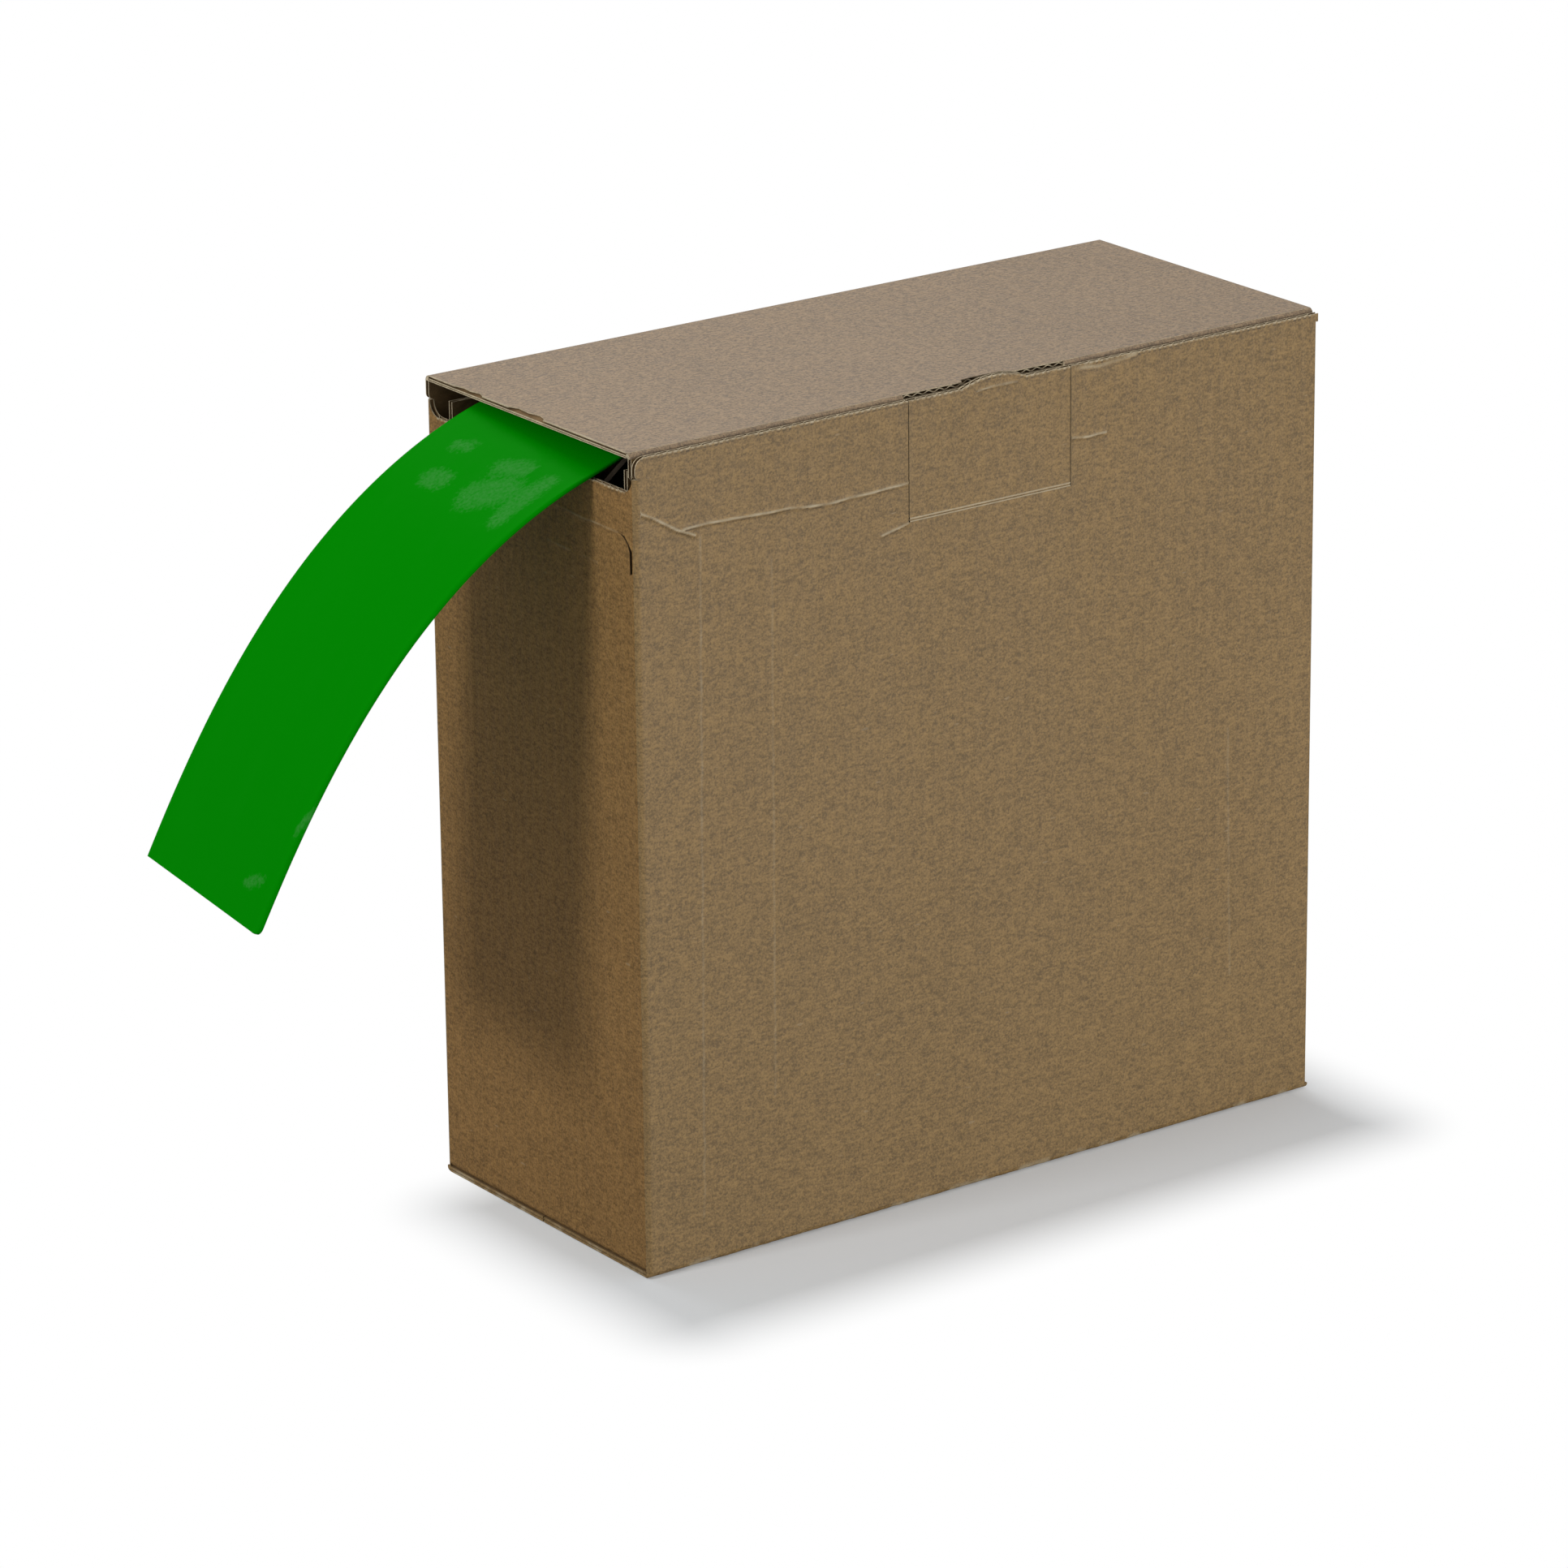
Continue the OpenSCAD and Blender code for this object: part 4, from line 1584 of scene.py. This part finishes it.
            if k in wanted:
                out.append((place.x, place.y, self._slope(k * ds), self.hanging - k * ds))
            slope = self._slope((k + 0.5) * ds)
            place = place - ds * Vector((math.cos(slope), math.sin(slope)))
        return out

    def _section(self, skin: float, left: float) -> list[Point2]:
        """One section of the tube.

        Args:
            skin: 1 for the outside and 0 for the flat inside.
            left: Distance from the section to the tip.

        Returns:
            Points round the section, across the width and across the thickness.
        """
        rounded = self.corner_r - math.sqrt(max(0.0, self.corner_r ** 2 - max(0.0, self.corner_r - left) ** 2))
        inset = 0.0 if skin else self.edge_t / 2 - self.cavity / 2
        near, far = -self.width / 2 + inset + rounded * 0.8, self.width / 2 - inset
        edge_h = self.edge_t / 2 if skin else self.cavity / 2
        flat_h = self.middle_t / 2 if skin else self.cavity / 2
        top = []
        for k in range(self.across + 1):
            t = -math.cos(math.pi * k / self.across)
            t = 0.55 * t + 0.45 * (2.0 * k / self.across - 1.0)
            u = (near + edge_h) * (1 - t) / 2 + (far - edge_h) * (1 + t) / 2
            rim = max(0.0, 1.0 - min(u - near, far - u) / self.bead)
            top.append((u, flat_h + (edge_h - flat_h) * rim * rim * (3 - 2 * rim)))
        right = [(far - edge_h + edge_h * math.sin(a), edge_h * math.cos(a)) for a in self._edge_angles()]
        left_side = [(near + edge_h - edge_h * math.sin(a), -edge_h * math.cos(a)) for a in self._edge_angles()]
        return [*top, *right, *[(u, -w) for u, w in reversed(top)], *left_side]

    def _edge_angles(self) -> list[float]:
        """Angles of the points round a folded edge."""
        return [math.pi * (k + 1) / (self.edge_steps + 1) for k in range(self.edge_steps)]

    def _skin(self, name: str, stations: Sequence[Station], skin: float) -> bpy.types.Object:
        """Wraps a grid round the tube's route.

        Args:
            name: Name of the piece.
            stations: The middle line.
            skin: 1 for the outside and 0 for the inside.

        Returns:
            The open-ended skin.
        """
        rings = [self._ring(station, skin) for station in stations]
        around = len(rings[0])
        piece = Bench.sheet(name, (0.0, 0.0), (1.0, 1.0), 0.0, (around, len(rings) - 1))
        for j, ring in enumerate(rings):
            for i in range(around + 1):
                piece.data.vertices[j * (around + 1) + i].co = ring[i % around]
        with Bench.editing(piece):
            bpy.ops.mesh.remove_doubles(threshold=1e-7)
        return piece

    def _ring(self, station: Station, skin: float) -> list[Vector]:
        """Places one section of the tube on its route.

        Args:
            station: x, z, slope and distance to the tip.
            skin: 1 for the outside and 0 for the inside.

        Returns:
            Its points.
        """
        x, z, slope, left = station
        lip = self._lip()
        t = max(0.0, min(1.0, (x - lip.x) / self.untwist))
        share = 1 - t * t * (3 - 2 * t)
        turn = Matrix.Rotation(-self.yaw * share, 3, "Z") @ Matrix.Rotation(self.tilt * share, 3, "X")
        middle = Vector((lip.x, self.side * share, lip.z)) + turn @ Vector((x - lip.x, 0.0, z - lip.z))
        across = turn @ Vector((0.0, 1.0, 0.0))
        up = turn @ Vector((-math.sin(slope), 0.0, math.cos(slope)))
        out = []
        for u, w in self._section(skin, left):
            calm = max(0.0, 1.0 - (2.0 * u / self.width) ** 4)
            hangs = x < lip.x - self.calm_near_lip
            push = self.dent * calm * noise.noise(Vector((x * 38.0, u * 42.0, 3.0))) * hangs
            out.append(middle + across * u + up * (w + push))
        return out


# ---------------------------------------------------------------- the studio


@dataclass
class Studio:
    """Camera, floor, lamps and background."""

    eye: tuple[float, float, float] = (-1.0647, -1.4312, 0.7172)
    azimuth: float = math.radians(35.82)
    elevation: float = math.radians(19.12)
    roll: float = math.radians(-0.65)
    lens: float = 162.9
    sensor: float = 36.0
    ambient: float = 0.39
    floor_bounce: float = 0.36
    floor_pale: Colour = (0.80, 0.83, 0.86)
    floor_fade: tuple[float, float] = (-0.012, 0.031)
    shadow_shift: Point2 = (-0.0065, -0.028)
    floor_half: float = 6.0
    floor_level: float = -0.2 * MM
    aim_height: float = 0.11
    lamps: tuple[tuple[str, tuple[float, float, float], Point2, float], ...] = (
        ("overhead_softbox", (0.0, 0.45, 1.00), (0.6, 0.6), 3.2),
        ("slot_side_softbox", (-1.15, 0.03, 0.74), (0.20, 0.20), 5.0),
        ("front_softbox", (0.38, -1.30, 0.14), (0.9, 0.3), 7.6),
    )

    def build(self) -> None:
        """Sets up the camera, the light and the floor."""
        bpy.context.scene.view_settings.view_transform = "Standard"
        self._camera()
        self._world()
        self._floor()
        for lamp in self.lamps:
            self._lamp(*lamp)

    def _camera(self) -> None:
        """The camera at its place, with its small roll."""
        data = bpy.data.cameras.new("camera")
        data.lens, data.sensor_width = self.lens, self.sensor
        camera = bpy.data.objects.new("camera", data)
        bpy.context.scene.collection.objects.link(camera)
        sa, ca, se, ce = (f(a) for a in (self.azimuth, self.elevation) for f in (math.sin, math.cos))
        ahead = Vector((sa * ce, ca * ce, -se))
        right = Vector((ca, -sa, 0.0))
        up = Vector((sa * se, ca * se, ce))
        cr, sr = math.cos(self.roll), math.sin(self.roll)
        columns = (right * cr + up * sr, up * cr - right * sr, -ahead)
        camera.matrix_world = Matrix.Translation(self.eye) @ Matrix(columns).transposed().to_4x4()
        bpy.context.scene.camera = camera

    def _world(self) -> None:
        """A world that is white to the eye and in reflections, and softer as a light."""
        graph = Graph("studio_world", bpy.data.worlds.new("studio_world"))
        rays = ("Is Camera Ray", "Is Glossy Ray", "Is Transmission Ray")
        camera, glossy, through = (graph.add("ShaderNodeLightPath", {}, {}, ray) for ray in rays)
        seen = camera.over(glossy).over(through)
        level = graph.add("ShaderNodeMapRange", {}, {"Value": seen, "To Min": self.ambient, "To Max": 1.0})
        background = graph.add("ShaderNodeBackground", {}, {"Color": (1.0, 1.0, 1.0, 1.0), "Strength": level})
        bpy.context.scene.world = graph.close(background, "ShaderNodeOutputWorld")

    def _floor(self) -> None:
        """A pale floor that shows white and keeps the shadow."""
        half = self.floor_half
        floor = Bench.sheet("studio_floor", (-half, -half), (half, half), self.floor_level, (4, 4))
        graph = Graph("studio_floor")
        path = graph.add("ShaderNodeLightPath", {}, {}, "Is Camera Ray")
        dull = (*[self.floor_bounce] * 3, 1.0)
        shown = graph.add("ShaderNodeBsdfDiffuse", {}, {"Color": (*self.floor_pale, 1.0)})
        white = graph.add("ShaderNodeEmission", {}, {"Strength": 1.0})
        low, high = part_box("front_bottom_flap")[0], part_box("back_bottom_flap")[1]
        outside = []
        for k in (0, 1):
            off = (graph.axis(k) - self.shadow_shift[k]).abs()
            outside.append((off - (high[k] - low[k]) / 2).over(0.0))
        reach = (outside[0] * outside[0] + outside[1] * outside[1]).root()
        seen = graph.add("ShaderNodeMixShader", {}, {0: reach.step_up(*self.floor_fade), 1: shown, 2: white})
        bounced = graph.add("ShaderNodeBsdfDiffuse", {}, {"Color": dull})
        surface = graph.add("ShaderNodeMixShader", {}, {0: path, 1: bounced, 2: seen})
        floor.data.materials.append(graph.close(surface))

    def _lamp(self, name: str, place: Sequence[float], size: Point2, power: float) -> None:
        """Adds a softbox that looks at the middle of the carton.

        Args:
            name: Name of the lamp.
            place: Where it stands.
            size: Its two sides.
            power: Its power in watts.
        """
        data = bpy.data.lights.new(name, "AREA")
        data.shape = "RECTANGLE"
        data.size, data.size_y = size
        data.energy = power
        lamp = bpy.data.objects.new(name, data)
        bpy.context.scene.collection.objects.link(lamp)
        away = Vector(place) - Vector((0.0, 0.0, self.aim_height))
        lamp.matrix_world = Matrix.Translation(place) @ away.to_track_quat("Z", "Y").to_matrix().to_4x4()


def main() -> None:
    """Builds the scene in order."""
    logging.basicConfig(level=logging.INFO, format="%(message)s")
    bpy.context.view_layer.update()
    Studio().build()
    finishes = Finishes()
    carton = Carton(finishes)
    carton.build()
    Lid(finishes, carton).build()
    Cradle(carton).build()
    Reel(finishes).build()
    TubeLead(finishes).build()


if __name__ == "__main__":
    main()
